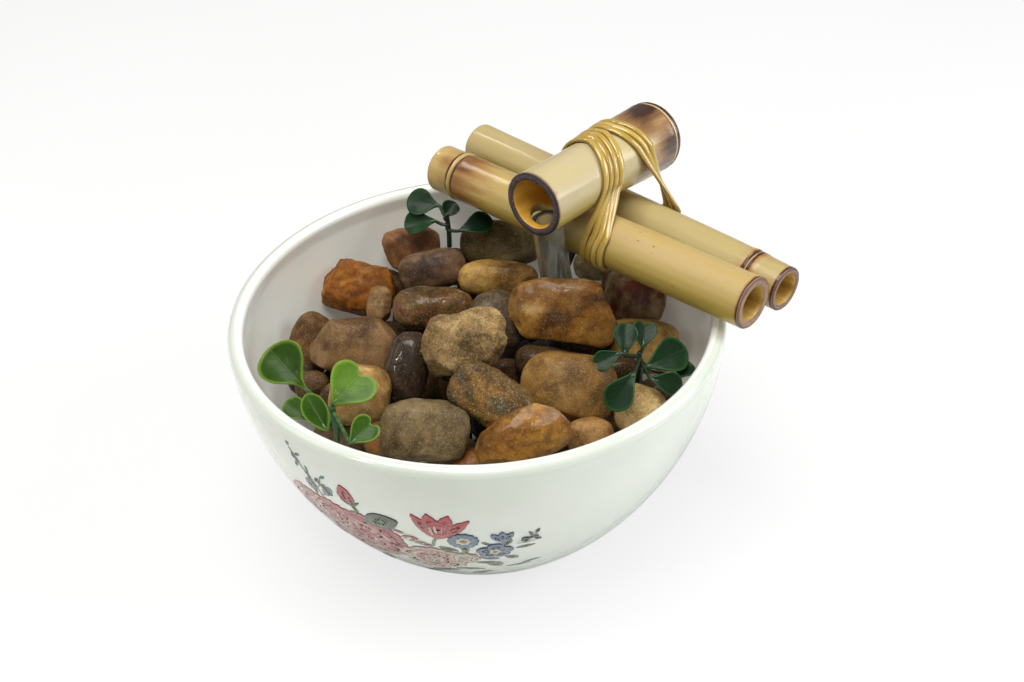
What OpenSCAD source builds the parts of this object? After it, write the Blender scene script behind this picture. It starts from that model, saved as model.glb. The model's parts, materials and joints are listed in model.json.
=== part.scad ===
// Tabletop bowl fountain: a glazed bowl full of river stones, a bamboo spout resting on two cross
// pipes over the rim, and a small submersible pump standing on the bowl floor under the stones.
// Frame: origin at the centre of the foot, on the table. +Z up, -Y the front, +X to the right.

/* [Bowl] */
// Outside diameter of the bowl just under the lip
bowl_d = 165; // [150:1:180]
// Height of the lip centre line above the table
lip_z = 81; // [70:1:90]
// Radius of the rounded lip
lip_r = 2.6; // [2:0.1:4]
// Height of the bowl floor inside
floor_z = 8; // [6:0.5:12]
// Outer radius of the foot ring
foot_r = 42; // [38:1:46]

/* [Bamboo] */
// Radius of the front cross pipe
front_r = 8.8; // [7:0.1:10]
// Radius of the rear cross pipe
rear_r = 8.2; // [7:0.1:10]
// Bore radius of the front cross pipe; the rear bore is slightly smaller
cross_bore_r = 5.9; // [5:0.1:7]
// Radius of the spout pipe at its waist
spout_r = 10.8; // [9:0.1:13]
// Bore radius of the spout pipe
spout_bore_r = 8.5; // [7:0.1:9]

/* [Riser tube] */
// Outside radius of the clear riser tube
tube_ro = 5.4; // [5:0.1:6]
// Inside radius of the clear riser tube
tube_ri = 4.0; // [3.5:0.1:4.5]
// Lean of the upper part of the tube from vertical, in degrees
tube_lean = 10; // [0:1:20]

/* [Pump] */
// Bearing of the pump's long axis in plan, in degrees from +X
pump_az = 32.5; // [0:0.5:60]
// Width of the motor housing
motor_w = 33; // [30:1:36]
// Length of the motor housing
motor_l = 26; // [24:1:30]
// Rotor magnet radius
magnet_r = 5.3; // [4:0.1:5.5]
// Rotor shaft radius
shaft_r = 1.2; // [1:0.1:1.5]
// Impeller radius
impeller_r = 8.2; // [7:0.1:8.4]
// Number of straight impeller vanes
vanes = 6; // [4:1:8]

/* [Cord] */
// Radius of the power cord
cord_r = 1.8; // [1.5:0.1:2.5]

/* [Hidden] */

// colours
glaze = [0.88, 0.89, 0.86];
cane = [0.80, 0.68, 0.42];
straw = [0.85, 0.71, 0.36];
clear = [0.85, 0.88, 0.86, 0.4];
black = [0.10, 0.10, 0.11];
ochre = [0.72, 0.47, 0.22];
tan = [0.66, 0.52, 0.36];
brown = [0.42, 0.30, 0.22];
red = [0.45, 0.22, 0.15];
grey = [0.38, 0.35, 0.31];
dark = [0.22, 0.18, 0.16];

// ---------- shared helpers ----------
function unit(v) = v / norm(v);

// triangles joining two rings of points that start at indices a and b
function band(a, b, sides) = [for (k = [0 : sides - 1]) let (j = (k + 1) % sides)
    each [[a + k, a + j, b + j], [a + k, b + j, b + k]]];

// carries a shape built along +Z onto the line from a to b
module along(a, b) {
    d = b - a;
    translate(a) rotate([0, acos(d[2] / norm(d)), atan2(d[1], d[0])]) children();
}

module rounded_rect(x, y, r) {
    square([x, y - 2 * r], center = true);
    square([x - 2 * r, y], center = true);
    for (i = [-1, 1]) for (j = [-1, 1])
        translate([i * (x / 2 - r), j * (y / 2 - r)]) circle(r = r, $fn = 32);
}

// ---------- bowl ----------
bowl_r = bowl_d / 2;
wall_t = 4.3;        // wall thickness near the lip
wall_top_z = 80.6;   // height at which both wall curves reach full radius
outer_drop = 98.7;   // depth of the outer wall curve
inner_drop = 92;     // depth of the inner wall curve
wall_power = 1.82;   // superellipse exponent of both curves

function wall_curve(full_r, drop, z) =
    full_r * pow(1 - pow((wall_top_z - z) / drop, wall_power), 1 / wall_power);
function outer_r(z) = wall_curve(bowl_r, outer_drop, z);
function inner_r(z) = wall_curve(bowl_r - wall_t, inner_drop, z);

module bowl() {
    // underside with a shallow ring groove just inside the foot's edge
    foot = [[0, 0], [foot_r - 9, 0], [foot_r - 8.5, 1], [foot_r - 5.5, 1], [foot_r - 5, 0],
        [foot_r, 0], [foot_r + 0.8, 2.2]];
    outer_wall = [for (z = [4, 8, 14, 21, 30, 40, 51, 62, 72]) [outer_r(z), z]];
    lip = [for (a = [-20 : 25 : 205]) [bowl_r - lip_r + lip_r * cos(a), lip_z + lip_r * sin(a)]];
    inner_wall = [for (z = [70, 58, 45, 33, 22, 14]) [inner_r(z), z]];
    bowl_floor = [[inner_r(9.5) - 1.5, 9], [inner_r(9) - 5, floor_z], [0, floor_z]];
    color(glaze) rotate_extrude($fn = 96)
        polygon(concat(foot, outer_wall, lip, inner_wall, bowl_floor));
}

// ---------- bamboo ----------
// ends of each pipe's axis
front_start = [-9.6, 73.5, 93.2];
front_end = [86.5, -25.8, 95.8];
rear_start = [4.7, 90.3, 93.0];
rear_end = [99.6, -14.2, 92.0];
spout_start = [19.8, 7.9, 115.4];   // mouth
spout_end = [66, 56, 112.2];
front_l = norm(front_end - front_start);
rear_l = norm(rear_end - rear_start);
spout_l = norm(spout_end - spout_start);
diaphragm_t = 2.5;

// outlines: [distance from the start, radius above nominal]
FRONT_OUTLINE = [[0, -0.35], [0.5, 0], [9, 0], [10.6, 0.35], [11.6, -0.3], [12, -0.3], [13, 0.1],
    [24, -0.1], [front_l - 0.5, 0], [front_l, -0.35]];
REAR_OUTLINE = [[0, -0.35], [0.5, 0], [rear_l - 26, 0], [rear_l - 17, -0.15],
    [rear_l - 14.2, 0.2], [rear_l - 13.2, -0.45], [rear_l - 12.6, -0.45], [rear_l - 11.6, 0.05],
    [rear_l - 9, -0.4], [rear_l - 0.5, -0.6], [rear_l, -0.9]];
SPOUT_OUTLINE = [[0, -0.2], [0.4, 0.15], [8, 0.05], [22, 0], [34, 0.35], [44, 1.0], [52, 1.5],
    [spout_l - 6, 1.75], [spout_l - 4, 1.9], [spout_l - 3.1, 1.4], [spout_l - 2.7, 1.4],
    [spout_l - 1.6, 1.7], [spout_l, 1.3]];
function outline_points(r, outline) = [for (q = outline) [r + q[1], q[0]]];

// cross pipe bored from each end up to a diaphragm that starts at wall_z
module culm(r, outline, bore, wall_z, length) {
    wall_end = wall_z + diaphragm_t;
    rotate_extrude($fn = 48) polygon(concat(
        [[bore, 0]], outline_points(r, outline), [[bore, length], [bore - 0.4, wall_end + 1],
        [bore - 1.4, wall_end], [0, wall_end], [0, wall_z],
        [bore - 1.4, wall_z], [bore - 0.4, wall_z - 1]]));
}
module cross_pipe_front() {
    color(cane) along(front_start, front_end)
        culm(front_r, FRONT_OUTLINE, cross_bore_r, wall_z = 10, length = front_l);
}
module cross_pipe_rear() {
    color(cane) along(rear_start, rear_end)
        culm(rear_r, REAR_OUTLINE, cross_bore_r - 0.3, wall_z = rear_l - 14, length = rear_l);
}
module spout_pipe() {
    closed_l = 7;   // solid length at the far end
    color(cane) difference() {
        along(spout_start, spout_end) rotate_extrude($fn = 48) polygon(concat(
            [[spout_bore_r, 0]], outline_points(spout_r, SPOUT_OUTLINE),
            [[0, spout_l], [0, spout_l - closed_l], [spout_bore_r - 1, spout_l - closed_l],
            [spout_bore_r, spout_l - closed_l - 2]]));
        // entry hole for the riser tube, through the underside only
        translate([24.9, 14.2, 98]) cylinder(r = tube_ro + 0.6, h = 14, $fn = 48);
    }
}

// ---------- lashings ----------
strand_w = 1.9;
strand_t = 0.9;
strand_pitch = 2.6;
wrap_start = -100;   // angle from the spout's top at which a strand starts over it
wrap_steps = 16;     // steps over the spout, and again round the cross pipe
// cross-section of a strand: [half-widths across, thicknesses out]
STRAND_SECTION = [[-1, 0], [-0.75, 1], [0.75, 1], [1, 0]];

// height of the line a-b at a plan distance from a
function height_at(a, b, distance) =
    a[2] + (b[2] - a[2]) * distance / norm([b[0] - a[0], b[1] - a[1]]);
function plan_dir(a, b) = unit([b[0] - a[0], b[1] - a[1]]);
// plan distance from a, along u, to the line through b along v
function crossing(a, u, b, v) =
    ((b[0] - a[0]) * v[1] - (b[1] - a[1]) * v[0]) / (u[0] * v[1] - u[1] * v[0]);

// closed flat strand over the spout and under the cross pipe from start to end.
// hand: 1 takes it from the spout's right side down the pipe's front face, -1 down its back face
// over: [angle from the spout's top, distance along the spout from the crossing]
// under: [angle from the pipe's bottom, distance along the pipe from the crossing]
// over_stop: angle at which the strand leaves the spout; shift: sideways place in the lashing
module strand(start, end, pipe_r, hand, over, under, over_stop, shift, gap) {
    u = plan_dir(spout_start, spout_end);
    v = plan_dir(start, end);
    spout_at = crossing(spout_start, u, start, v);
    pipe_at = crossing(start, v, spout_start, u);
    centre = [spout_start[0] + u[0] * spout_at, spout_start[1] + u[1] * spout_at];
    spout_side = [u[1], -u[0]];
    pipe_side = [v[1], -v[0]] * hand;
    under_start = under[len(under) - 1][0];
    under_stop = under[0][0];
    // each station: [position, outward normal, width direction]
    top = [for (k = [0 : wrap_steps])
        let (a = wrap_start + (over_stop - wrap_start) * k / wrap_steps,
            s = lookup(a, over) + shift,
            r = spout_r + lookup(spout_at + s, SPOUT_OUTLINE) + gap,
            xy = centre + u * s + spout_side * r * sin(a))
        [[xy[0], xy[1], height_at(spout_start, spout_end, spout_at + s) + r * cos(a)],
            [spout_side[0] * sin(a), spout_side[1] * sin(a), cos(a)],
            [u[0], u[1], 0]]];
    low = [for (k = [0 : wrap_steps])
        let (a = under_start + (under_stop - under_start) * k / wrap_steps,
            s = lookup(a, under) + hand * shift,
            r = pipe_r + gap,
            xy = centre + v * s + pipe_side * r * sin(a))
        [[xy[0], xy[1], height_at(start, end, pipe_at + s) - r * cos(a)],
            [pipe_side[0] * sin(a), pipe_side[1] * sin(a), -cos(a)],
            [v[0] * hand, v[1] * hand, 0]]];
    // three stations on the free span between stations p and q
    function span(p, q) = [for (i = [1 : 3]) let (k = i / 4)
        [p[0] + (q[0] - p[0]) * k, unit(p[1] * (1 - k) + q[1] * k), unit(p[2] * (1 - k) + q[2] * k)]];
    stations = concat(top, span(top[wrap_steps], low[0]), low, span(low[wrap_steps], top[0]));
    n = len(stations);
    points = [for (e = stations) each [for (q = STRAND_SECTION)
        e[0] + e[1] * q[1] * strand_t + e[2] * q[0] * strand_w / 2]];
    polyhedron(points, [for (i = [0 : n - 1]) each band(4 * i, 4 * ((i + 1) % n), 4)], convexity = 6);
}
module lashing_front() {
    color(straw) for (i = [0 : 3])
        strand(front_start, front_end, front_r, hand = 1,
            over = [[-100, 9], [0, 9], [100, 2]], under = [[-110, -14], [0, 11], [130, 14]],
            over_stop = 100, shift = (i - 1.5) * strand_pitch, gap = 0.3);
}
module lashing_rear() {
    color(straw) for (i = [0 : 2])
        strand(rear_start, rear_end, rear_r, hand = -1,
            over = [[-100, -0.5], [0, -1.4], [60, 2]], under = [[-125, -8], [0, 4], [128, 20]],
            over_stop = 62, shift = (i - 1) * strand_pitch, gap = 0.4);
}

// ---------- pump frame ----------
// In the pump's own frame x runs along its axis from the motor to the strainer.
pump_shift = -1.4;              // its origin sits this far along its axis from the bowl centre
pump_x0 = 5;                    // back face of the motor housing
pump_z0 = 13.5;                 // underside of the motor housing
pump_z1 = 45.5;                 // top of the motor housing
motor_x1 = pump_x0 + motor_l;   // joint between motor housing and chamber cover
cover_x1 = 41;                  // strainer end of the chamber cover
axis_z = 33.2;                  // rotor axis height
outlet_x = 36.2;                // outlet spigot position
fit = 0.05;                     // clearance between mating parts

// point of the pump frame, in the bowl's frame
function pump_point(x, y, z) = [(x + pump_shift) * cos(pump_az) - y * sin(pump_az),
    (x + pump_shift) * sin(pump_az) + y * cos(pump_az), z];
module in_pump() {
    rotate([0, 0, pump_az]) translate([pump_shift, 0, 0]) children();
}
// cylinder along x
module rod(r, x0, x1, z = axis_z) {
    translate([x0, 0, z]) rotate([0, 90, 0]) cylinder(r = r, h = x1 - x0, $fn = 48);
}
// block along x with rounded long edges
module bar(x0, x1, w, z0, z1, r) {
    translate([x0, 0, (z0 + z1) / 2]) rotate([90, 0, 90])
        linear_extrude(x1 - x0) rounded_rect(w, z1 - z0, r);
}
// a cube on each side of the pump's midplane, y being its inner face
module side_blocks(x, y, z, size) {
    for (side = [-1, 1]) translate([x, side > 0 ? y : -y - size[1], z]) cube(size);
}
// block centred in x and y
module mid_block(l, w, h, z) {
    translate([-l / 2, -w / 2, z]) cube([l, w, h]);
}

// ---------- riser tube ----------
tube_foot = pump_point(outlet_x, 0, 0);   // plan position over the outlet spigot
tube_z0 = 46.4;
bend_r = 60;
bend_z = 63;          // height at which the bend starts
bend_steps = 6;
leaning_l = 33.58;    // straight length above the bend
lean_az = 224.2;      // the tube leans towards the spout mouth
tube_sides = 40;

// ring of points round the centreline point [out, up], square to a direction leaning by lean
function tube_ring(at, lean, r) = [for (k = [0 : tube_sides - 1]) let (t = k * 360 / tube_sides)
    [at[0] + r * cos(t) * cos(lean), r * sin(t), at[1] - r * cos(t) * sin(lean)]];
function bend_point(a) = [bend_r * (1 - cos(a)), bend_z + bend_r * sin(a)];

module riser_tube() {
    // stations [centreline point, lean]: straight up, round the bend, straight along the lean
    line = concat([[[0, tube_z0], 0]],
        [for (k = [0 : bend_steps]) let (a = tube_lean * k / bend_steps) [bend_point(a), a]],
        [[bend_point(tube_lean) + leaning_l * [sin(tube_lean), cos(tube_lean)], tube_lean]]);
    n = len(line);
    points = concat([for (q = line) each tube_ring(q[0], q[1], tube_ro)],
        [for (q = line) each tube_ring(q[0], q[1], tube_ri)]);
    bore = tube_sides * n;         // first point of the bore
    last = tube_sides * (n - 1);   // first point of the top ring
    function quad(a, b, k, j) = [a + k, b + k, b + j, a + j];
    // faces of the outer wall, the bore, the bottom end and the top end
    faces = concat(
        [for (i = [0 : n - 2]) for (k = [0 : tube_sides - 1])
            quad(tube_sides * i, tube_sides * (i + 1), k, (k + 1) % tube_sides)],
        [for (i = [0 : n - 2]) for (k = [0 : tube_sides - 1])
            quad(bore + tube_sides * i, bore + tube_sides * (i + 1), (k + 1) % tube_sides, k)],
        [for (k = [0 : tube_sides - 1]) let (j = (k + 1) % tube_sides)
            [k, j, bore + j, bore + k]],
        [for (k = [0 : tube_sides - 1]) let (j = (k + 1) % tube_sides)
            [last + j, last + k, bore + last + k, bore + last + j]]);
    color(clear) translate([tube_foot[0], tube_foot[1], 0]) rotate([0, 0, lean_az])
        polyhedron(points, faces, convexity = 4);
}

// ---------- motor ----------
housing_wall = 1.5;
housing_corner = 2.2;   // inner corner radius
well_ri = 5.9;          // rotor well
well_ro = 6.8;
well_floor_x = 11;
cup_x = [9.5, 26.5];    // suction cup places
cup_y = 11.5;
core_x = 12.5;          // stator core
core_l = 13;
core_z = 16;
leg_y = 6;              // inner face of each core leg
leg_w = 4.5;
coil_x = core_x + core_l / 2;
coil_y = leg_y + leg_w / 2;
bobbin_z = 20.2;
grommet_r = 3;
cord_exit_z = 22;

module at_cups(z) {
    for (x = cup_x) for (y = [-cup_y, cup_y]) translate([x, y, z]) children();
}
module motor_housing() {
    color(black) in_pump() difference() {
        union() {
            difference() {
                bar(pump_x0, motor_x1, motor_w, pump_z0, pump_z1, 3.5);
                bar(pump_x0 - 1, motor_x1 - housing_wall, motor_w - 2 * housing_wall,
                    pump_z0 + housing_wall, pump_z1 - housing_wall, housing_corner);
            }
            rod(well_ro, well_floor_x - 1, motor_x1 - 1);
        }
        rod(well_ri, well_floor_x, motor_x1 + 1);
        // sockets for the suction cups
        at_cups(pump_z0 - 1) cylinder(r = 1.55, h = 2.2, $fn = 24);
    }
}
module stator_core() {
    half_w = leg_y + leg_w;
    color([0.55, 0.55, 0.58]) in_pump() difference() {
        union() {
            // legs, the yoke joining them at the bottom, and pads inside their tops
            side_blocks(core_x, leg_y, core_z, [core_l, leg_w, 25]);
            translate([core_x, -half_w, core_z]) cube([core_l, 2 * half_w, 4]);
            side_blocks(core_x, 4.6, 36.5, [core_l, 1.5, 4.5]);
        }
        rod(well_ro + 0.15, 12, 26);
    }
}
module coil_bobbins() {
    flange_t = 0.8;
    bobbin_h = 6;
    color([0.85, 0.84, 0.78]) in_pump()
    for (side = [-1, 1]) translate([coil_x, side * coil_y, bobbin_z]) difference() {
        union() {
            for (z = [0, bobbin_h - flange_t]) mid_block(18.8, 10.4, flange_t, z);
            mid_block(14.6, 6.1, bobbin_h, 0);
        }
        mid_block(13.2, 4.7, bobbin_h + 2, -1);
        // clearance round the rotor well
        translate([0, -side * coil_y, axis_z - bobbin_z]) rotate([0, 90, 0])
            cylinder(r = well_ro + 0.15, h = 40, center = true, $fn = 48);
    }
}
module coil_windings() {
    color([0.72, 0.38, 0.18]) in_pump()
    for (side = [-1, 1]) translate([coil_x, side * coil_y, bobbin_z + 0.9])
        linear_extrude(4.2) difference() {
            rounded_rect(18.4, 9.9, 2);
            square([14.8, 6.3], center = true);
        }
}
module potting_plug() {
    inset = housing_wall + fit;
    color([0.16, 0.15, 0.15]) in_pump() difference() {
        bar(pump_x0 + fit, 7.8, motor_w - 2 * inset, pump_z0 + inset, pump_z1 - inset,
            housing_corner - fit);
        rod(grommet_r + fit, 4, 9, cord_exit_z);
    }
}
module suction_cups() {
    color([0.3, 0.3, 0.32]) in_pump() at_cups(floor_z)
        rotate_extrude($fn = 32) polygon([[0, 1], [4.2, 0], [5, 0], [4.6, 0.6], [2.6, 2.6],
            [2.2, 4.2], [2.9, 5.4], [1.5, 5.4], [1.5, 6.5], [0, 6.5]]);
}
module cord_grommet() {
    color(black) in_pump() difference() {
        union() {
            rod(grommet_r, 0.2, 8.6, cord_exit_z);
            rod(4.2, 3.2, 4.9, cord_exit_z);   // flange
            for (x = [0.6, 1.9]) rod(3.35, x, x + 0.6, cord_exit_z);   // ribs
        }
        rod(cord_r + 0.03, -1, 10, cord_exit_z);
    }
}

// ---------- rotor ----------
eye_bushing_r = 2.1;
disc_x = 31.4;   // motor side of the impeller disc and vanes

module rotor_magnet() {
    color([0.25, 0.24, 0.24]) in_pump() difference() {
        rod(magnet_r, 13, 28.4);
        rod(shaft_r + fit, 12, 30);
    }
}
module rotor_shaft() {
    color([0.93, 0.92, 0.88]) in_pump() rod(shaft_r, 11.6, 40.2);
}
module shaft_bushings() {
    color([0.2, 0.2, 0.22]) in_pump() {
        // at the bottom of the rotor well
        difference() {
            rod(well_ri - fit, well_floor_x + fit, 12.6);
            rod(shaft_r + 0.01, 11.5, 14);
        }
        // in the inlet eye
        difference() {
            rod(eye_bushing_r, 38.9, 40.4);
            rod(shaft_r + 0.01, 38, 40.25);
        }
    }
}
module impeller() {
    vane_t = 1;
    vane_start = 2.8;   // radius at which the vanes start, inside the hub
    color([0.92, 0.92, 0.9]) in_pump() difference() {
        union() {
            rod(3.4, 28.6, 36.9);   // hub
            rod(impeller_r - 0.4, disc_x, disc_x + 1);
            for (i = [0 : vanes - 1])
                translate([disc_x, 0, axis_z]) rotate([i * 360 / vanes, 0, 0])
                    translate([0, -vane_t / 2, vane_start])
                        cube([5.9, vane_t, impeller_r - vane_start]);
        }
        rod(shaft_r + fit, 28, 38);
    }
}

// ---------- pump chamber ----------
chamber_r = 9.1;
chamber_x1 = 38.6;   // inner face of the chamber's end wall
spigot_z = 46;
groove_ri = 9.8;     // seal groove
groove_ro = 11.5;

module chamber_cover() {
    color(black) in_pump() difference() {
        union() {
            bar(motor_x1, cover_x1, 26, 20, 46.3, 4);
            // outlet spigot: collar, barrel and tapered tip
            translate([outlet_x, 0, spigot_z]) cylinder(r = 4.6, h = 0.35, $fn = 40);
            translate([outlet_x, 0, spigot_z]) cylinder(r = tube_ri - fit, h = 10, $fn = 40);
            translate([outlet_x, 0, 54.2])
                cylinder(r1 = tube_ri - 0.02, r2 = tube_ri - 0.7, h = 2.2, $fn = 40);
        }
        rod(chamber_r, motor_x1 - 1, chamber_x1);
        // outlet bore
        translate([outlet_x, 0, 38]) cylinder(r = 2.8, h = 20, $fn = 40);
        // seal groove
        difference() {
            rod(groove_ro, motor_x1 - 1, 32.6);
            rod(groove_ri, motor_x1 - 2, 33);
        }
        // inlet eye with a three-armed shaft bridge
        difference() {
            rod(5.6, 38, 42);
            rod(3.0, chamber_x1, cover_x1);
            for (i = [0 : 2]) translate([chamber_x1, 0, axis_z]) rotate([i * 120, 0, 0])
                translate([0, -0.8, 0]) cube([2.4, 1.6, 7]);
        }
        // bushing seat
        rod(eye_bushing_r + fit, 38, 40.45);
    }
}
module chamber_seal() {
    color([0.15, 0.15, 0.15]) in_pump() translate([31.78, 0, axis_z]) rotate([0, 90, 0])
        rotate_extrude($fn = 64) translate([(groove_ri + groove_ro) / 2, 0])
            circle(r = 0.76, $fn = 20);
}

// ---------- strainer ----------
guide_x = 47.4;   // the guides start just inside the strainer's face
guide_z = 20;
guide_h = 20;
cut_x = 45;       // start of the cuts through the face
cut_l = 4;

module strainer_cover() {
    color(black) in_pump() difference() {
        union() {
            difference() {
                bar(cover_x1 + fit, 47.5, 25, 17, 46.2, 4);
                bar(40, 46.2, 22.6, 18.2, 45, 3);
            }
            // slider guides: side rails, their inturned lips and a bottom stop
            side_blocks(guide_x, 6.15, guide_z, [2.9, 1.5, guide_h]);
            side_blocks(49.3, 4.9, guide_z, [1, 2.75, guide_h]);
            translate([guide_x, -6.2, 19.2]) cube([1.9, 12.4, 0.9]);
        }
        // upright slots in the middle, short slots down each side, slots in the underside
        for (i = [-3 : 3]) translate([cut_x, i * 1.7 - 0.4, 30.2]) cube([cut_l, 0.8, 9]);
        for (side = [-1, 1]) for (i = [0 : 3])
            translate([cut_x, side * 10 - 1, 22 + i * 5]) cube([cut_l, 2, 1.6]);
        for (i = [-3 : 3]) translate([42.4, i * 2.8 - 0.6, 16]) cube([2.8, 1.2, 3]);
    }
}
module filter_foam() {
    color([0.2, 0.22, 0.24]) in_pump() bar(41.6, 45.9, 22, 18.6, 44.6, 2.8);
}
module flow_slider() {
    color([0.75, 0.12, 0.1]) in_pump() {
        translate([47.6, -6, 20.3]) cube([1.5, 12, 9.5]);
        for (i = [0 : 2]) translate([49, -3.6, 22 + i * 2.4]) cube([1, 7.2, 1]);   // ribs
    }
}

// ---------- power cord and plug ----------
cord_az = 57;            // bearing at which the cord crosses the rim
cord_sides = 8;
spline_steps = 3;        // points per waypoint interval
coil_centre = [34, 122];
coil_rx = 26;            // half-widths of the oval coil on the table
coil_ry = 19;
coil_z0 = 1.9;
coil_pitch = 4.1;        // rise per turn
plug_x = -13;
plug_z = 7.2;

// Catmull-Rom curve through the waypoints; the last waypoint itself is left out
function catmull(a, b, c, d, t) = 0.5 * ((2 * b) + (c - a) * t + (2 * a - 5 * b + 4 * c - d) * t * t
    + (3 * b - a - 3 * c + d) * t * t * t);
function spline(p) = [for (i = [0 : len(p) - 2]) for (k = [0 : spline_steps - 1])
    catmull(p[max(i - 1, 0)], p[i], p[i + 1], p[min(i + 2, len(p) - 1)], k / spline_steps)];
function rim(r, z) = [r * cos(cord_az), r * sin(cord_az), z];

// from the pump up through the stones, over the rim and down to the table
CORD_RISE = [
    pump_point(9, 0, cord_exit_z), pump_point(4, 0, cord_exit_z), pump_point(-0.5, 0, cord_exit_z),
    pump_point(-4.5, 0, 22.6), pump_point(-7.5, 1, 28), pump_point(-7, 2, 38),
    pump_point(-2, 5, 47), [8, 17, 53], [21, 36, 54.5], [31, 49, 57],
    rim(69.6, 66), rim(74.2, 76), rim(75.2, 81.5), rim(76.6, 84.8), rim(79.9, 86.1),
    rim(83.3, 84.8), rim(84.8, 81.3), rim(85.3, 75), rim(86, 58), rim(85, 32), rim(88, 12),
    [57, 92, 3.5]];
// from the top of the coil to the plug
CORD_TAIL = [[10, 135, 12.8], [-4, 136, 10], [-12, 131, 7.4], [plug_x, 126, plug_z],
    [plug_x, 120, plug_z]];
cord_coil = [for (a = [-25 : 20 : 1040]) [coil_centre[0] + coil_rx * cos(a),
    coil_centre[1] + coil_ry * sin(a), coil_z0 + max(0, a) * coil_pitch / 360]];
cord_path = concat(spline(CORD_RISE), cord_coil, spline(CORD_TAIL));

// round bar of radius r swept along a path
module sweep(path, r, sides) {
    last = len(path) - 1;
    points = [for (i = [0 : last]) let (
        dir = unit(path[min(i + 1, last)] - path[max(i - 1, 0)]),
        // steep runs take their section's direction from the rim bearing instead of from +Z
        guide = abs(dir[2]) < 0.93 ? [0, 0, 1] : [-cos(cord_az), -sin(cord_az), 0],
        s = unit(cross(dir, guide)),
        v = cross(s, dir))
        each [for (k = [0 : sides - 1])
            path[i] + r * (s * cos(k * 360 / sides) + v * sin(k * 360 / sides))]];
    polyhedron(points, concat([[for (k = [sides - 1 : -1 : 0]) k]],
        [for (i = [0 : last - 1]) each band(i * sides, (i + 1) * sides, sides)],
        [[for (k = [0 : sides - 1]) last * sides + k]]), convexity = 10);
}
module power_cord() {
    color(black) sweep(cord_path, cord_r, cord_sides);
}

// carries a shape built along +Z onto the plug's axis, pointing +Y from y
module plug_axis(y) {
    translate([0, y, plug_z]) rotate([-90, 0, 0]) children();
}
module power_plug() {
    color(black) translate([plug_x, 0, 0]) difference() {
        union() {
            plug_axis(105) linear_extrude(12) rounded_rect(20, 14, 3);
            plug_axis(97) linear_extrude(8.2) rounded_rect(24, 14.4, 3);
            plug_axis(117) cylinder(r = 3.2, h = 6, $fn = 32);
        }
        plug_axis(115) cylinder(r = cord_r + fit, h = 9, $fn = 32);
    }
}
module plug_pins() {
    pin = [1.5, 12.75, 6.4];
    color([0.8, 0.68, 0.4]) for (side = [-1, 1])
        translate([plug_x + side * 6.35 - pin[0] / 2, 84.2, plug_z - pin[2] / 2]) cube(pin);
}

// ---------- sprigs ----------
// flat pointed leaf, turned in its own plane and then tilted
module leaf(centre, length, width, tilt, turn) {
    arc_r = (length * length / 4 + width * width / 4) / width;
    translate(centre) rotate([tilt, 0, 0]) rotate([0, 0, turn])
        linear_extrude(0.7, center = true) intersection() {
            translate([0, arc_r - width / 2]) circle(r = arc_r, $fn = 64);
            translate([0, -arc_r + width / 2]) circle(r = arc_r, $fn = 64);
        }
}
module stem(a, b, r) {
    along(a, b) cylinder(r = r, h = norm(b - a), $fn = 16);
}
// main stem with leaves on side stems, each reaching the nearer end of its leaf.
// leaves: [centre, length, width, [tilt, turn], height at which its side stem starts]
module sprig(foot, top, leaves) {
    stem(foot, top, 0.8);
    for (q = leaves) {
        tilt = q[3][0];
        turn = q[3][1];
        hub = foot + (top - foot) * (q[4] - foot[2]) / (top[2] - foot[2]);
        reach = (q[1] / 2 - 1.6) * [cos(turn), sin(turn) * cos(tilt), sin(turn) * sin(tilt)];
        leaf(q[0], q[1], q[2], tilt, turn);
        near = norm(q[0] + reach - hub) < norm(q[0] - reach - hub) ? q[0] + reach : q[0] - reach;
        stem(hub, near, 0.6);
    }
}
module sprig_back() {
    color([0.16, 0.30, 0.14]) sprig([-9, 55.5, 70], [-9.2, 55, 83.4], [
        [[-17.2, 59.5, 87], 12.5, 9.5, [40, -15], 82.4],
        [[-19, 55.5, 81], 11, 8, [35, 5], 79.6],
        [[-8.2, 56.8, 84.8], 7.5, 6, [40, 55], 81.8],
        [[1, 53.5, 80], 13, 7.5, [38, 18], 77.6]]);
}
module sprig_left() {
    color([0.45, 0.60, 0.30]) sprig([-47, -40, 60], [-46.6, -41, 75.4], [
        [[-62.5, -19, 75], 17, 14.5, [42, -50], 73.8],
        [[-41.5, -36.5, 80], 14, 13, [40, 45], 75],
        [[-51.5, -43, 76.5], 13.5, 7, [38, -62], 73],
        [[-58, -39, 74], 9.5, 6, [35, -40], 72],
        [[-37, -54, 76.5], 9.5, 7, [38, 40], 74.4]]);
}
module sprig_right() {
    color([0.16, 0.33, 0.15]) sprig([52, -21.5, 58], [51.4, -24, 76.5], [
        [[47, -21.5, 81], 11, 7, [42, 85], 76],
        [[53.2, -20.5, 81.8], 9, 6.5, [42, 80], 76.2],
        [[59.5, -27, 77], 14, 10.5, [42, 22], 74.8],
        [[65, -28.5, 72.5], 7.5, 6, [30, 50], 72],
        [[40.5, -30, 80.5], 10, 5.5, [38, 20], 75.8],
        [[44, -40.5, 76], 14, 8.5, [40, 52], 75.4],
        [[58, -37, 75], 10.5, 6.5, [38, -18], 75]]);
}

// ---------- stones ----------
lump = 0.03;         // depth of a pebble's lumps, as a share of its radius
pebble_sides = 14;
pebble_bands = 7;

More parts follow.
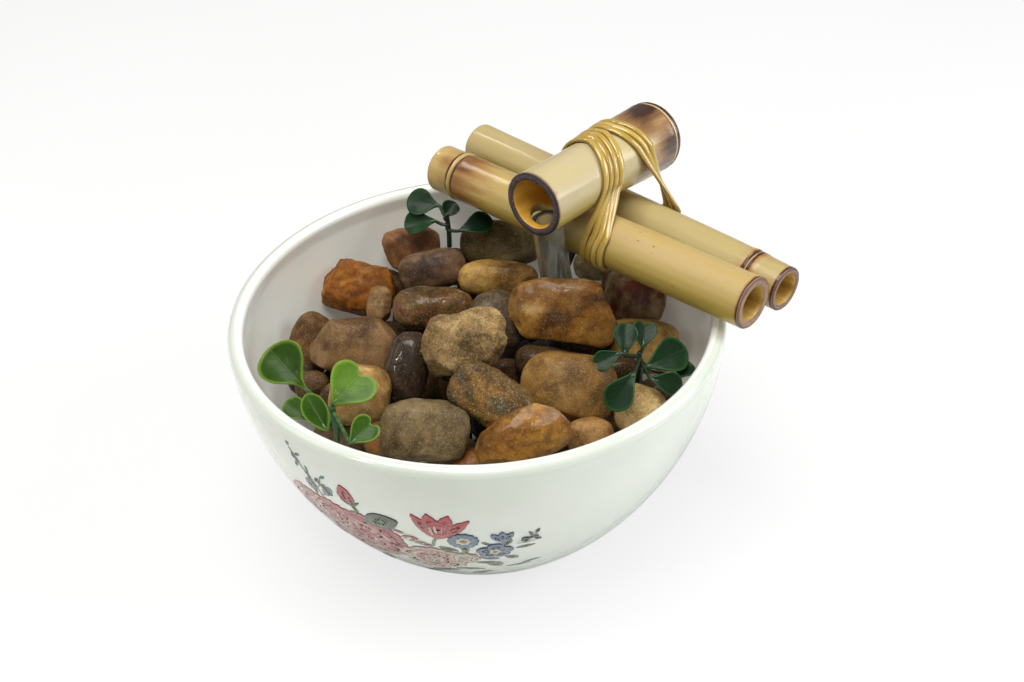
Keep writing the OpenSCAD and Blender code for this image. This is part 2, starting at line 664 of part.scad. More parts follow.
// river stone: size [w, d, h]; blocky = 2 is an egg, larger is blockier; seed shifts its lumps
module pebble(size, blocky, seed) {
    m = pebble_sides;
    phase = rands(0, 360, 6, seed);
    // radius at bearing a and elevation e
    function rad(a, e) = 1 / pow(pow(abs(cos(a) * cos(e)), blocky)
            + pow(abs(sin(a) * cos(e)), blocky) + pow(abs(sin(e)), blocky), 1 / blocky)
        * (1 - lump * (1 + sin(2 * a + phase[0]) * cos(e))
            - lump * 0.7 * (1 + sin(3 * a + phase[1]) * cos(e))
            - lump * 0.6 * (1 + sin(2 * e + phase[2]) * cos(a + phase[3]) * cos(e)));
    function point(a, e) = let (r = rad(a, e)) [r * cos(a) * cos(e) * size[0] / 2,
        r * sin(a) * cos(e) * size[1] / 2, r * sin(e) * size[2] / 2];
    points = concat([point(0, -90)],
        [for (j = [1 : pebble_bands - 1]) for (i = [0 : m - 1])
            point(i * 360 / m + j * 180 / m, -90 + j * 180 / pebble_bands)],
        [point(0, 90)]);
    top = len(points) - 1;
    last_ring = 1 + (pebble_bands - 2) * m;
    polyhedron(points, concat(
        [for (i = [0 : m - 1]) [0, 1 + i, 1 + (i + 1) % m]],
        [for (j = [0 : pebble_bands - 3]) for (i = [0 : m - 1])
            let (a = 1 + j * m, b = a + m, i2 = (i + 1) % m)
            each [[a + i, b + i, a + i2], [a + i2, b + i, b + i2]]],
        [for (i = [0 : m - 1]) [top, last_ring + (i + 1) % m, last_ring + i]]), convexity = 4);
}
// placed stone: turn rotates it in its face, tilt leans its face back, yaw swings it in plan
module stone(place, size, blocky, seed, shade, tilt = 0, turn = 0, yaw = 0) {
    color(shade) translate(place) rotate([0, 0, yaw]) rotate([tilt, 0, 0]) rotate([0, turn, 0])
        pebble(size, blocky, seed);
}

// visible stones in number order: [place, size, tilt, turn, blocky, colour, yaw]
STONES = [
    [[-43.5, 44.5, 61.5], [28, 15, 22], -30, 12, 3.0, ochre, 0],
    [[-23.5, 61, 66], [22, 13, 17], -30, 10, 2.4, red, 10],
    [[-16, 47, 66], [27, 17, 17], -30, -8, 2.3, grey, 0],
    [[-35, 31, 63], [9, 11, 13], -30, 8, 2.6, tan, 0],
    [[-15.5, 19, 68], [30, 18, 16], -30, 6, 2.4, red, 0],
    [[-43.5, 8, 62], [30, 20, 22], -32, 12, 2.6, tan, 0],
    [[-60, 21, 54], [15, 12, 22], -30, 24, 2.5, brown, 0],
    [[-58, -3, 55], [10, 10, 9], -30, 0, 2.3, red, 0],
    [[-40, -22, 65], [22, 17, 22], -32, 10, 2.6, tan, 0],
    [[-24.4, -9.6, 65.6], [17, 17, 25.5], -30, 14, 2.3, dark, 0],
    [[-5, -14, 77], [30, 17, 21], -34, -14, 3.2, tan, 0],
    [[-18.3, -45.2, 67.8], [28.5, 18, 21], -34, 8, 2.8, grey, 0],
    [[3, -38.2, 73.8], [30, 14, 18.5], -34, 38, 2.8, brown, 0],
    [[12, -53, 70], [33, 12, 18], -30, -22, 2.5, ochre, 0],
    [[27.4, -31, 70], [32, 17, 25], -36, 10, 2.5, tan, 0],
    [[33.5, -45.5, 62], [15, 10, 12], -30, 0, 2.4, red, 0],
    [[50, -36, 63], [18, 16, 18], -32, 20, 2.5, tan, 0],
    [[29.5, 3, 75.2], [38, 12.5, 25], -30, 8, 2.6, ochre, 0],
    [[6.5, 10, 68], [17, 16, 21], -30, -10, 2.3, grey, 0],
    [[8, 37, 67], [30, 17, 15], -28, 6, 2.3, tan, 0],
    [[11, 62, 66], [30, 14, 19], -30, 0, 2.4, dark, 0],
    [[56, 28, 62], [23, 16, 23], -30, -10, 2.5, red, 0],
    [[57, 5, 58], [25, 17, 19], -32, 10, 2.6, tan, 0],
    [[44.4, 51.4, 60.6], [14.5, 11.5, 11.5], -28, 8, 2.4, tan, 0]];
// a visible stone by its number, which is also its seed
module visible(number) {
    q = STONES[number - 1];
    stone(q[0], q[1], q[4], number, q[5], q[2], q[3], q[6]);
}
module stone_01() visible(1);
module stone_02() visible(2);
module stone_03() visible(3);
module stone_04() visible(4);
module stone_05() visible(5);
module stone_06() visible(6);
module stone_07() visible(7);
module stone_08() visible(8);
module stone_09() visible(9);
module stone_10() visible(10);
module stone_11() visible(11);
module stone_12() visible(12);
module stone_13() visible(13);
module stone_14() visible(14);
module stone_15() visible(15);
module stone_16() visible(16);
module stone_17() visible(17);
module stone_18() visible(18);
module stone_19() visible(19);
module stone_20() visible(20);
module stone_21() visible(21);
module stone_22() visible(22);
module stone_23() visible(23);
module stone_24() visible(24);

// small stones that fill the gaps between the large ones: [place, size]
GAPS = [
    [[-33, -38.5, 60], [10, 10, 10]], [[27, -8, 60], [28, 14, 12]], [[-9, -2, 60], [14, 12, 12]],
    [[-7, 33, 59], [13, 10, 10]], [[-62.5, 6.5, 50.5], [9, 12, 10]], [[47, -9.5, 57.5], [12, 10, 12]],
    [[-24.5, 36.5, 53], [16, 12, 12]], [[-32, 20, 52.5], [14, 14, 11]], [[7.5, -3, 54], [12, 12, 10]],
    [[37, 5, 57], [12, 12, 12]], [[41.5, 17, 55], [11, 12, 14]], [[2, 50, 56], [16, 13, 13]],
    [[-7, 62, 56], [13, 11, 13]], [[-32.5, 54.5, 53], [14, 12, 12]],
    [[-48, -12, 53.2], [15, 13, 12]], [[-4, -51, 55.5], [13, 12, 11]], [[8, -24, 57], [14, 14, 12]],
    [[36, 32, 59], [12, 12, 13]], [[42, -25, 54], [12, 12, 11]], [[59, -17, 53], [12, 11, 11]],
    [[39, -43.5, 51.5], [11, 11, 10]], [[61.3, 16.6, 50.4], [11, 11, 10]]];
module gap_stones() {
    for (i = [0 : len(GAPS) - 1])
        stone(GAPS[i][0], GAPS[i][1], 2.4, 30 + i, i % 2 == 0 ? brown : dark,
            tilt = -20, turn = i * 17);
}

bed_blocky = 2.3;
// ring of bed stones, from bearing start on in equal steps
module bed_ring(count, r, z, start, step, size, seed, shade) {
    for (i = [0 : count - 1]) let (a = start + step * i)
        stone([r * cos(a), r * sin(a), z], size, bed_blocky, seed + i, shade, yaw = a);
}
// the hidden bed the visible stones lie on: two layers, each a ring and some stones inside it
module bed_stones() {
    bed_ring(8, 38, 18, 80, 37, [21, 20, 17.5], 50, brown);
    for (p = [[-14, 8, 18], [2, -20, 18]]) stone(p, [18, 18, 17], bed_blocky, 60 + p[1], brown);
    bed_ring(10, 50, 38, 72, 31.5, [22, 22.5, 18], 70, grey);
    for (p = [[-25, 17, 38], [-28, -9, 38], [-11, -27, 38], [15, -28, 38]])
        stone(p, [17, 17, 16.5], bed_blocky, 80 + p[0], grey);
}

bowl();
cross_pipe_front();
cross_pipe_rear();
spout_pipe();
lashing_front();
lashing_rear();
riser_tube();
motor_housing();
stator_core();
coil_bobbins();
coil_windings();
potting_plug();
rotor_magnet();
rotor_shaft();
shaft_bushings();
impeller();
chamber_cover();
chamber_seal();
strainer_cover();
filter_foam();
flow_slider();
suction_cups();
cord_grommet();
power_cord();
power_plug();
plug_pins();
sprig_back();
sprig_left();
sprig_right();
stone_01();
stone_02();
stone_03();
stone_04();
stone_05();
stone_06();
stone_07();
stone_08();
stone_09();
stone_10();
stone_11();
stone_12();
stone_13();
stone_14();
stone_15();
stone_16();
stone_17();
stone_18();
stone_19();
stone_20();
stone_21();
stone_22();
stone_23();
stone_24();
gap_stones();
bed_stones();
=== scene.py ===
"""Looks for a tabletop bowl fountain: glazed bowl with a painted floral print, river stones,
bamboo spout on two crossing pipes, cane lashing, clear riser tube, plastic sprigs, cord and pump.

The bowl stands on z = 0 with its axis on the origin and +Z up. The camera and the print are on
the -Y side. The spout lies above the rim, its open mouth near the axis and its closed end towards
+X +Y; the coiled cord and the plug lie on the floor behind the bowl, at +Y.

Lengths are millimetres and angles degrees, except the stage, lights and camera, which are in
metres. Texture scales are per metre. Colours are sRGB hex swatches.
"""
import itertools
import json
import math
from functools import cached_property

import bmesh
import bpy
import numpy as np
from mathutils import Matrix, Vector


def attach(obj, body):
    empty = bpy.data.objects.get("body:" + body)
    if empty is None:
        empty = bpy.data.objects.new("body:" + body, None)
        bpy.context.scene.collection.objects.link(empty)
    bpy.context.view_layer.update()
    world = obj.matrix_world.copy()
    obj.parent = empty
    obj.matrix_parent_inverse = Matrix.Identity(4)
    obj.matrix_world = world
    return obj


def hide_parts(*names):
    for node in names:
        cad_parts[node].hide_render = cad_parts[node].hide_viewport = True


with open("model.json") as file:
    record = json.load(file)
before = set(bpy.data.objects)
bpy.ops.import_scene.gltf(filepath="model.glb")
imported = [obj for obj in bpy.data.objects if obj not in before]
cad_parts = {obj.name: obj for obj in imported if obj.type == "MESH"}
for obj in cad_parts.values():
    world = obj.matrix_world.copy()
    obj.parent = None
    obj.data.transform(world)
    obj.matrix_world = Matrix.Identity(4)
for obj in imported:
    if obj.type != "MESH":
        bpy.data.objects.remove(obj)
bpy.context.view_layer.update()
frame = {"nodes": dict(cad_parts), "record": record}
NODES = frame["nodes"]
ROOT, BAMBOO = "bowl_body", "bamboo"
MM = 0.001

# The pump's own axes are turned about Z and shifted along its x.
PUMP_TURN = math.radians(32.5)
PUMP_SHIFT = 1.4


# ---------------------------------------------------------------- numbers
def vec(*values):
    return np.array(values, float)


def unit(vectors):
    vectors = np.asarray(vectors, float)
    return vectors / np.linalg.norm(vectors, axis=-1, keepdims=True)


def turn_angles(count):
    """Evenly spaced angles round a full turn, in radians."""
    return np.arange(count) * 2 * np.pi / count


def polar(radius, degrees):
    return radius * vec(math.cos(math.radians(degrees)), math.sin(math.radians(degrees)))


def cylinder(radius, angle, z):
    """Points from radius, angle in radians and height."""
    parts = np.broadcast_arrays(radius * np.cos(angle), radius * np.sin(angle), z)
    return np.stack(parts, -1)


def pump_point(x, y, z):
    cos, sin = math.cos(PUMP_TURN), math.sin(PUMP_TURN)
    return vec((x - PUMP_SHIFT) * cos - y * sin, (x - PUMP_SHIFT) * sin + y * cos, z)


def squircle(count, power):
    """Outline of a unit superellipse, as two arrays."""
    cos, sin = np.cos(turn_angles(count)), np.sin(turn_angles(count))
    radius = (np.abs(cos) ** power + np.abs(sin) ** power) ** (-1 / power)
    return radius * cos, radius * sin


def value_noise(points, seed=0):
    """Smooth noise in -1..1 at the points (N, 3)."""
    cell = np.floor(points).astype(np.int64)
    part = points - cell
    part = part * part * part * (part * (part * 6 - 15) + 10)
    primes = np.array([374761393, 668265263, 1440662683])
    total = 0
    for corner in itertools.product((0, 1), repeat=3):
        mixed = ((cell + corner) @ primes + seed * 1274126177) & 0xFFFFFFFF
        for shift, factor in ((13, 1274126177), (15, 2246822519)):
            mixed = ((mixed ^ (mixed >> shift)) * factor) & 0xFFFFFFFF
        value = ((mixed ^ (mixed >> 16)) & 0xFFFF) / 32767.5 - 1
        total = total + value * np.where(corner, part, 1 - part).prod(1)
    return total


def fbm(points, seed, octaves):
    """Layered noise, each octave finer and half as strong."""
    weights = 0.5 ** np.arange(octaves)
    total = 0
    for k, weight in enumerate(weights):
        total = total + weight * value_noise(points * 2.03**k + 17.3 * k, seed + 31 * k)
    return total / weights.sum()


def smooth_path(points, steps, closed=False):
    """Catmull-Rom path through the points, with so many steps between each two."""
    points = np.asarray(points, float)
    count = len(points)
    order = np.arange(-1, count + 2)
    padded = points[order % count if closed else order.clip(0, count - 1)]
    path = []
    for i in range(count if closed else count - 1):
        before, start, end, after = padded[i : i + 4]
        linear = end - before
        square = 2 * before - 5 * start + 4 * end - after
        cube = 3 * start - before - 3 * end + after
        for k in range(steps):
            t = k / steps
            path.append(0.5 * (2 * start + linear * t + square * t * t + cube * t**3))
    if not closed:
        path.append(points[-1])
    return np.array(path)


def tangents(path):
    return unit(np.vstack([path[1] - path[0], path[2:] - path[:-2], path[-1] - path[-2]]))


def lengths_along(path):
    steps = np.linalg.norm(np.diff(path, axis=0), axis=1)
    return np.concatenate([[0], np.cumsum(steps)])


# ---------------------------------------------------------------- meshes
def make(name, materials, verts, faces, body=ROOT, replaces=None, slot=None, index=None,
         attrs=None, outward=False):
    """A smooth mesh object; attrs are point values or vectors, outward recalculates normals."""
    mesh = bpy.data.meshes.new(name)
    mesh.from_pydata((np.asarray(verts, float) * MM).tolist(), [],
                     [tuple(int(i) for i in face) for face in faces])
    for material in materials:
        mesh.materials.append(material)
    if index is not None:
        mesh.polygons.foreach_set("material_index", np.asarray(index, np.int32))
    for key, data in (attrs or {}).items():
        data = np.asarray(data, np.float32)
        kind, field = ("FLOAT_VECTOR", "vector") if data.ndim == 2 else ("FLOAT", "value")
        mesh.attributes.new(key, kind, "POINT").data.foreach_set(field, data.ravel())
    mesh.polygons.foreach_set("use_smooth", [True] * len(mesh.polygons))
    mesh.validate()
    mesh.update()
    ob = bpy.data.objects.new(name, mesh)
    bpy.context.scene.collection.objects.link(ob)
    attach(ob, body)
    if replaces:
        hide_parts(replaces)
    if outward:
        bm = bmesh.new()
        bm.from_mesh(mesh)
        bmesh.ops.recalc_face_normals(bm, faces=bm.faces)
        bm.to_mesh(mesh)
        bm.free()
    return ob


def grid_faces(rows, cols, wrap_rows=False, wrap_cols=True, base=0, flip=False):
    faces = []
    for i in range(rows if wrap_rows else rows - 1):
        this, after = base + i * cols, base + (i + 1) % rows * cols
        for k in range(cols if wrap_cols else cols - 1):
            k2 = (k + 1) % cols
            face = [this + k, this + k2, after + k2, after + k]
            faces.append(face[::-1] if flip else face)
    return faces


def fan(centre, first, count, flip=False):
    """Triangles from a centre vertex to the ring that starts at first."""
    pairs = [(first + k, first + (k + 1) % count) for k in range(count)]
    return [[centre, b, a] if flip else [centre, a, b] for a, b in pairs]


def capped_faces(rows, cols):
    """Rings closed at both ends; the two centre vertices follow the rings."""
    count = rows * cols
    caps = fan(count, 0, cols, flip=True) + fan(count + 1, count - cols, cols)
    return grid_faces(rows, cols) + caps


def sweep(path, radius, sides):
    """Vertices, faces and local coordinates of a round bar along a path, ends closed."""
    path = np.asarray(path, float)
    count = len(path)
    radius = np.broadcast_to(np.asarray(radius, float), (count,))
    along = tangents(path)
    # the side direction is carried along the path, so that it doesn't twist
    side = np.zeros_like(path)
    reference = vec(0, 0, 1) if abs(along[0][2]) < 0.9 else vec(1, 0, 0)
    side[0] = unit(np.cross(along[0], reference))
    for i in range(1, count):
        side[i] = unit(side[i - 1] - along[i] * np.dot(side[i - 1], along[i]))
    other = np.cross(along, side)
    cos, sin = np.cos(turn_angles(sides)), np.sin(turn_angles(sides))
    ring = side[:, None] * cos[None, :, None] + other[:, None] * sin[None, :, None]
    verts = (path[:, None] + ring * radius[:, None, None]).reshape(-1, 3)
    length = lengths_along(path)
    wide = np.repeat(radius, sides)
    coords = np.stack([np.tile(cos, count) * wide, np.tile(sin, count) * wide,
                       np.repeat(length, sides)], -1)
    return (np.vstack([verts, path[0], path[-1]]), capped_faces(count, sides),
            np.vstack([coords, [0, 0, 0], [0, 0, length[-1]]]))


def revolve(profile, centre, segments, axes=((1, 0, 0), (0, 1, 0), (0, 0, 1))):
    """A part turned from a closed (radius, height) profile; the last axis is the turning one."""
    angle = turn_angles(segments)
    rings = [cylinder(radius, angle, height) for radius, height in profile]
    verts = centre + np.vstack(rings) @ np.array(axes, float)
    return verts, grid_faces(len(profile), segments, wrap_rows=True), {}, None


def joined(parts):
    """Joins (vertices, faces, {attribute: values}, material index or None) parts for make."""
    verts, faces, attrs, index, base = [], [], {}, [], 0
    for part_verts, part_faces, part_attrs, material in parts:
        verts.append(np.asarray(part_verts, float))
        faces += [[base + i for i in face] for face in part_faces]
        index += [material] * len(part_faces)
        for key, data in part_attrs.items():
            attrs.setdefault(key, []).append(np.asarray(data, float))
        base += len(part_verts)
    return dict(verts=np.vstack(verts), faces=faces, index=None if None in index else index,
                attrs={key: np.concatenate(data) for key, data in attrs.items()})


# ---------------------------------------------------------------- materials
def channels(swatch):
    return [int(swatch[i : i + 2], 16) / 255 for i in (0, 2, 4)]


def colour(swatch):
    """A swatch as a linear colour."""
    linear = [c / 12.92 if c <= 0.04045 else ((c + 0.055) / 1.055) ** 2.4
              for c in channels(swatch)]
    return (*linear, 1.0)


def tone(swatch, light, blue):
    """A swatch made darker by light, with its blue cut further."""
    factors = (light, light * (0.5 + 0.5 * blue) ** 0.25, light * blue)
    scaled = [(c**2.2 * factor) ** (1 / 2.2) for c, factor in zip(channels(swatch), factors)]
    return "".join("%02X" % int(round(min(max(c, 0), 1) * 255)) for c in scaled)


class Mat:
    """A material with a Principled shader, and short calls that add nodes to it."""

    SOCKETS = dict(
        color="Base Color", rough="Roughness", metal="Metallic", coat="Coat Weight",
        coat_rough="Coat Roughness", sss="Subsurface Weight", ior="IOR",
        trans="Transmission Weight", normal="Normal", coat_normal="Coat Normal",
        spec="Specular IOR Level", sheen="Sheen Weight", glow="Emission Color",
        glow_strength="Emission Strength")

    def __init__(self, name):
        self.material = bpy.data.materials.new(name)
        self.material.use_nodes = True
        self.tree = self.material.node_tree
        self.tree.nodes.clear()
        self.output = self.node("OutputMaterial")
        self.shader = self.node("BsdfPrincipled")
        self.put(self.output.inputs[0], self.shader.outputs[0])

    @cached_property
    def co(self):
        return self.node("TexCoord").outputs["Object"]

    def put(self, socket, value):
        """Links a socket, or sets a value or a swatch; None leaves it alone."""
        if isinstance(value, bpy.types.NodeSocket):
            self.tree.links.new(value, socket)
        elif value is not None:
            socket.default_value = colour(value) if isinstance(value, str) else value

    def node(self, kind, inputs=None, **settings):
        node = self.tree.nodes.new("ShaderNode" + kind)
        for key, value in settings.items():
            setattr(node, key, value)
        for key, value in (inputs or {}).items():
            self.put(node.inputs[key], value)
        return node

    def attr(self, name, out="Vector"):
        return self.node("Attribute", attribute_name=name).outputs[out]

    def coords(self, co=None, stretch=None, shift=None, turn=(0, 0, 0)):
        co = co or self.co
        if stretch is None and shift is None:
            return co
        return self.node("Mapping", {"Vector": co, "Scale": stretch or (1, 1, 1),
                                     "Location": shift or (0, 0, 0), "Rotation": turn}).outputs[0]

    def noise(self, scale=1.0, detail=4.0, rough=0.5, distort=0.0, **place):
        return self.node("TexNoise", {
            "Vector": self.coords(**place), "Scale": scale, "Detail": detail,
            "Roughness": rough, "Distortion": distort}).outputs["Fac"]

    def voronoi(self, scale=1.0, **place):
        """Distance to the nearest cell centre."""
        inputs = {"Vector": self.coords(**place), "Scale": scale}
        return self.node("TexVoronoi", inputs).outputs["Distance"]

    def ramp(self, fac, stops):
        """Eased colour ramp through {position: swatch}."""
        node = self.node("ValToRGB", {"Fac": fac})
        node.color_ramp.interpolation = "EASE"
        elements = node.color_ramp.elements
        while len(elements) < len(stops):
            elements.new(0.5)
        for k, (position, swatch) in enumerate(stops.items()):
            elements[k].position = position
            elements[k].color = colour(swatch)
        return node.outputs["Color"]

    def fade(self, value, over, to=(0.0, 1.0)):
        """Eases from the first to the second value of to as value crosses over."""
        return self.node("MapRange", {
            "Value": value, "From Min": over[0], "From Max": over[1], "To Min": to[0],
            "To Max": to[1]}, interpolation_type="SMOOTHSTEP", clamp=True).outputs["Result"]

    def blend(self, base, over, fac, amount=None, mode="MIX"):
        """Lays a colour over the base by fac, times amount where given."""
        if amount is not None:
            fac = self.mul(fac, amount)
        return self.node("Mix", {0: fac, 6: base, 7: over}, data_type="RGBA",
                         blend_type=mode).outputs[2]

    def math(self, operation, first, second=None):
        return self.node("Math", {0: first, 1: second}, operation=operation).outputs[0]

    def mul(self, first, second):
        return self.math("MULTIPLY", first, second)

    def add(self, first, second):
        return self.math("ADD", first, second)

    def sub(self, first, second):
        return self.math("SUBTRACT", first, second)

    def xyz(self, vector):
        return self.node("SeparateXYZ", {0: vector}).outputs

    def surface_normal(self):
        return self.xyz(self.node("NewGeometry").outputs["Normal"])

    def bump(self, height, depth, strength=1.0, under=None):
        """Bump of a depth in mm, on top of another normal where given."""
        return self.node("Bump", {"Height": height, "Distance": depth * MM,
                                  "Strength": strength, "Normal": under}).outputs[0]

    def finish(self, **inputs):
        for key, value in inputs.items():
            self.put(self.shader.inputs[self.SOCKETS[key]], value)
        return self.material


def glaze():
    mat = Mat("glaze")
    height = mat.xyz(mat.co)[2]
    base = mat.ramp(mat.noise(scale=14, detail=3), {0.3: "CBD1C3", 0.52: "D2D7CB", 0.75: "DADDD3"})
    # the inside wall is painted whiter and given a faint glow: painted light that brightens the inner
    # wall
    normal_x, normal_y, _ = mat.surface_normal()
    x, y, _ = mat.xyz(mat.co)
    outward = mat.add(mat.mul(normal_x, x), mat.mul(normal_y, y))
    inside = mat.mul(mat.fade(outward, over=(0.004, -0.012)), mat.fade(height, over=(0.008, 0.02)))
    base = mat.blend(base, "F2F2EA", inside, amount=0.85)
    pinholes = mat.fade(mat.voronoi(scale=330), over=(0.035, 0.02))
    pinholes = mat.mul(pinholes, mat.fade(mat.noise(scale=45, detail=1), over=(0.62, 0.7)))
    base = mat.blend(base, "6D6A5C", pinholes, amount=0.55)
    # the foot ring is left unglazed
    bare = mat.fade(height, over=(0.0009, 0.0004))
    grit = mat.noise(scale=2600, detail=3)
    base = mat.blend(base, mat.ramp(grit, {0.35: "B9AE9A", 0.7: "D9D0BE"}), bare)
    flow = mat.bump(mat.noise(scale=22, detail=2), depth=0.25, strength=0.5)
    peel = mat.bump(mat.noise(scale=700, detail=2), depth=0.006, strength=0.5, under=flow)
    gritty = mat.bump(grit, depth=0.08, strength=mat.mul(bare, 0.8), under=peel)
    sheen = mat.fade(mat.noise(scale=60), over=(0.3, 0.7), to=(0.16, 0.24))
    # the glow on the inside wall is painted light, not a lamp
    return mat.finish(color=base, rough=mat.add(sheen, mat.mul(bare, 0.5)),
                      coat=mat.sub(1.0, bare), coat_rough=0.03, sss=0.04, normal=gritty,
                      coat_normal=flow, ior=1.52, glow="EEF0E8", glow_strength=mat.mul(inside, 0.10))


def paint(name, main, edge, wash, streak):
    """Brushed underglaze: pools darker at a stroke's edge, lets the white through in streaks."""
    mat = Mat("print_" + name)
    main = tone(main, light=0.66, blue=0.78)
    edge = tone(edge, light=0.58, blue=0.78)
    wash = tone(wash, light=0.86, blue=0.92)
    to_edge = mat.attr("rad", "Fac")
    fine = mat.noise(scale=420, detail=4, rough=0.6)
    clouds = mat.noise(scale=160, detail=3)
    base = mat.blend(main, wash, mat.fade(fine, over=(0.45, 0.75)), amount=streak)
    base = mat.blend(base, edge, mat.fade(clouds, over=(0.35, 0.7)), amount=0.35)
    pool = mat.fade(mat.add(to_edge, mat.mul(fine, 0.25)), over=(0.93, 1.1))
    base = mat.blend(base, edge, pool, amount=0.75)
    return mat.finish(color=base, rough=0.24, coat=0.7, coat_rough=0.035, ior=1.5, spec=0.3,
                      normal=mat.bump(fine, depth=0.01, strength=0.3))


# ---------------------------------------------------------------- bowl
WALL_LEVEL = 80.6  # where both walls stand upright
WALL_POWER = 1.82  # of the superellipse of the walls
OUTER_RADIUS, OUTER_DEPTH = 82.5, 98.7
INNER_RADIUS, INNER_DEPTH = 78.2, 92.0
BOWL_SEGMENTS = 240
LIP_RADIUS, LIP_CENTRE = 2.6, (79.9, 81)
# radius and height across the underside and foot ring
FOOT = [
    (0, 0.02), (15, 0.02), (32.6, 0.02), (32.95, 0.15), (33.3, 0.8), (33.8, 1.0), (36.2, 1.0),
    (36.7, 0.8), (37.05, 0.15), (37.4, 0.0), (39.5, 0.0), (41.4, 0.0), (41.8, 0.12),
    (42.1, 0.5), (42.8, 2.2), (44.2, 3.3)]


def wall_radius(z, radius, depth):
    drop = WALL_LEVEL - np.minimum(z, WALL_LEVEL - 0.01)
    return radius * (1 - (drop / depth) ** WALL_POWER) ** (1 / WALL_POWER)


def outer_radius(z):
    return wall_radius(z, OUTER_RADIUS, OUTER_DEPTH)


def inner_radius(z):
    return wall_radius(z, INNER_RADIUS, INNER_DEPTH)


def wheel_wobble(angle):
    """The potter's wheel leaves the wall very slightly out of round."""
    return 0.0009 * np.sin(2 * angle + 0.6) + 0.0005 * np.sin(3 * angle + 2.1)


def build_bowl():
    outside = np.concatenate([np.linspace(4.6, 20, 14), np.linspace(21.5, 77.5, 40)])
    inside = np.concatenate([np.linspace(77, 20, 38), np.linspace(18.5, 11, 9)])
    profile = FOOT + [(outer_radius(z), z) for z in outside] + [(82.42, 79.2)]
    for angle in np.linspace(-12, 198, 22):
        profile.append(LIP_CENTRE + polar(LIP_RADIUS, angle))
    profile += [(77.55, 79.0)] + [(inner_radius(z), z) for z in inside]
    profile += [(inner_radius(9.5) - 1.2, 9.1), (inner_radius(9) - 3.5, 8.35),
                (inner_radius(9) - 6, 8.05), (20, 8.0), (0, 8.0)]
    angle = turn_angles(BOWL_SEGMENTS)
    rings = profile[1:-1]
    verts = [cylinder(radius * (1 + wheel_wobble(angle) * min(1, z / 30)), angle, z)
             for radius, z in rings]
    verts += [vec(0, 0, profile[0][1]), vec(0, 0, profile[-1][1])]
    make("bowl_body_glazed", [glaze()], np.vstack(verts), capped_faces(len(rings), BOWL_SEGMENTS),
         replaces="bowl", slot="glazed_ceramic")


build_bowl()

# ---------------------------------------------------------------- print
# length along the outer wall, to lay the print without stretching it
WALL_Z = np.linspace(2, 78, 400)
WALL_LENGTH = lengths_along(np.column_stack([outer_radius(WALL_Z), WALL_Z]))


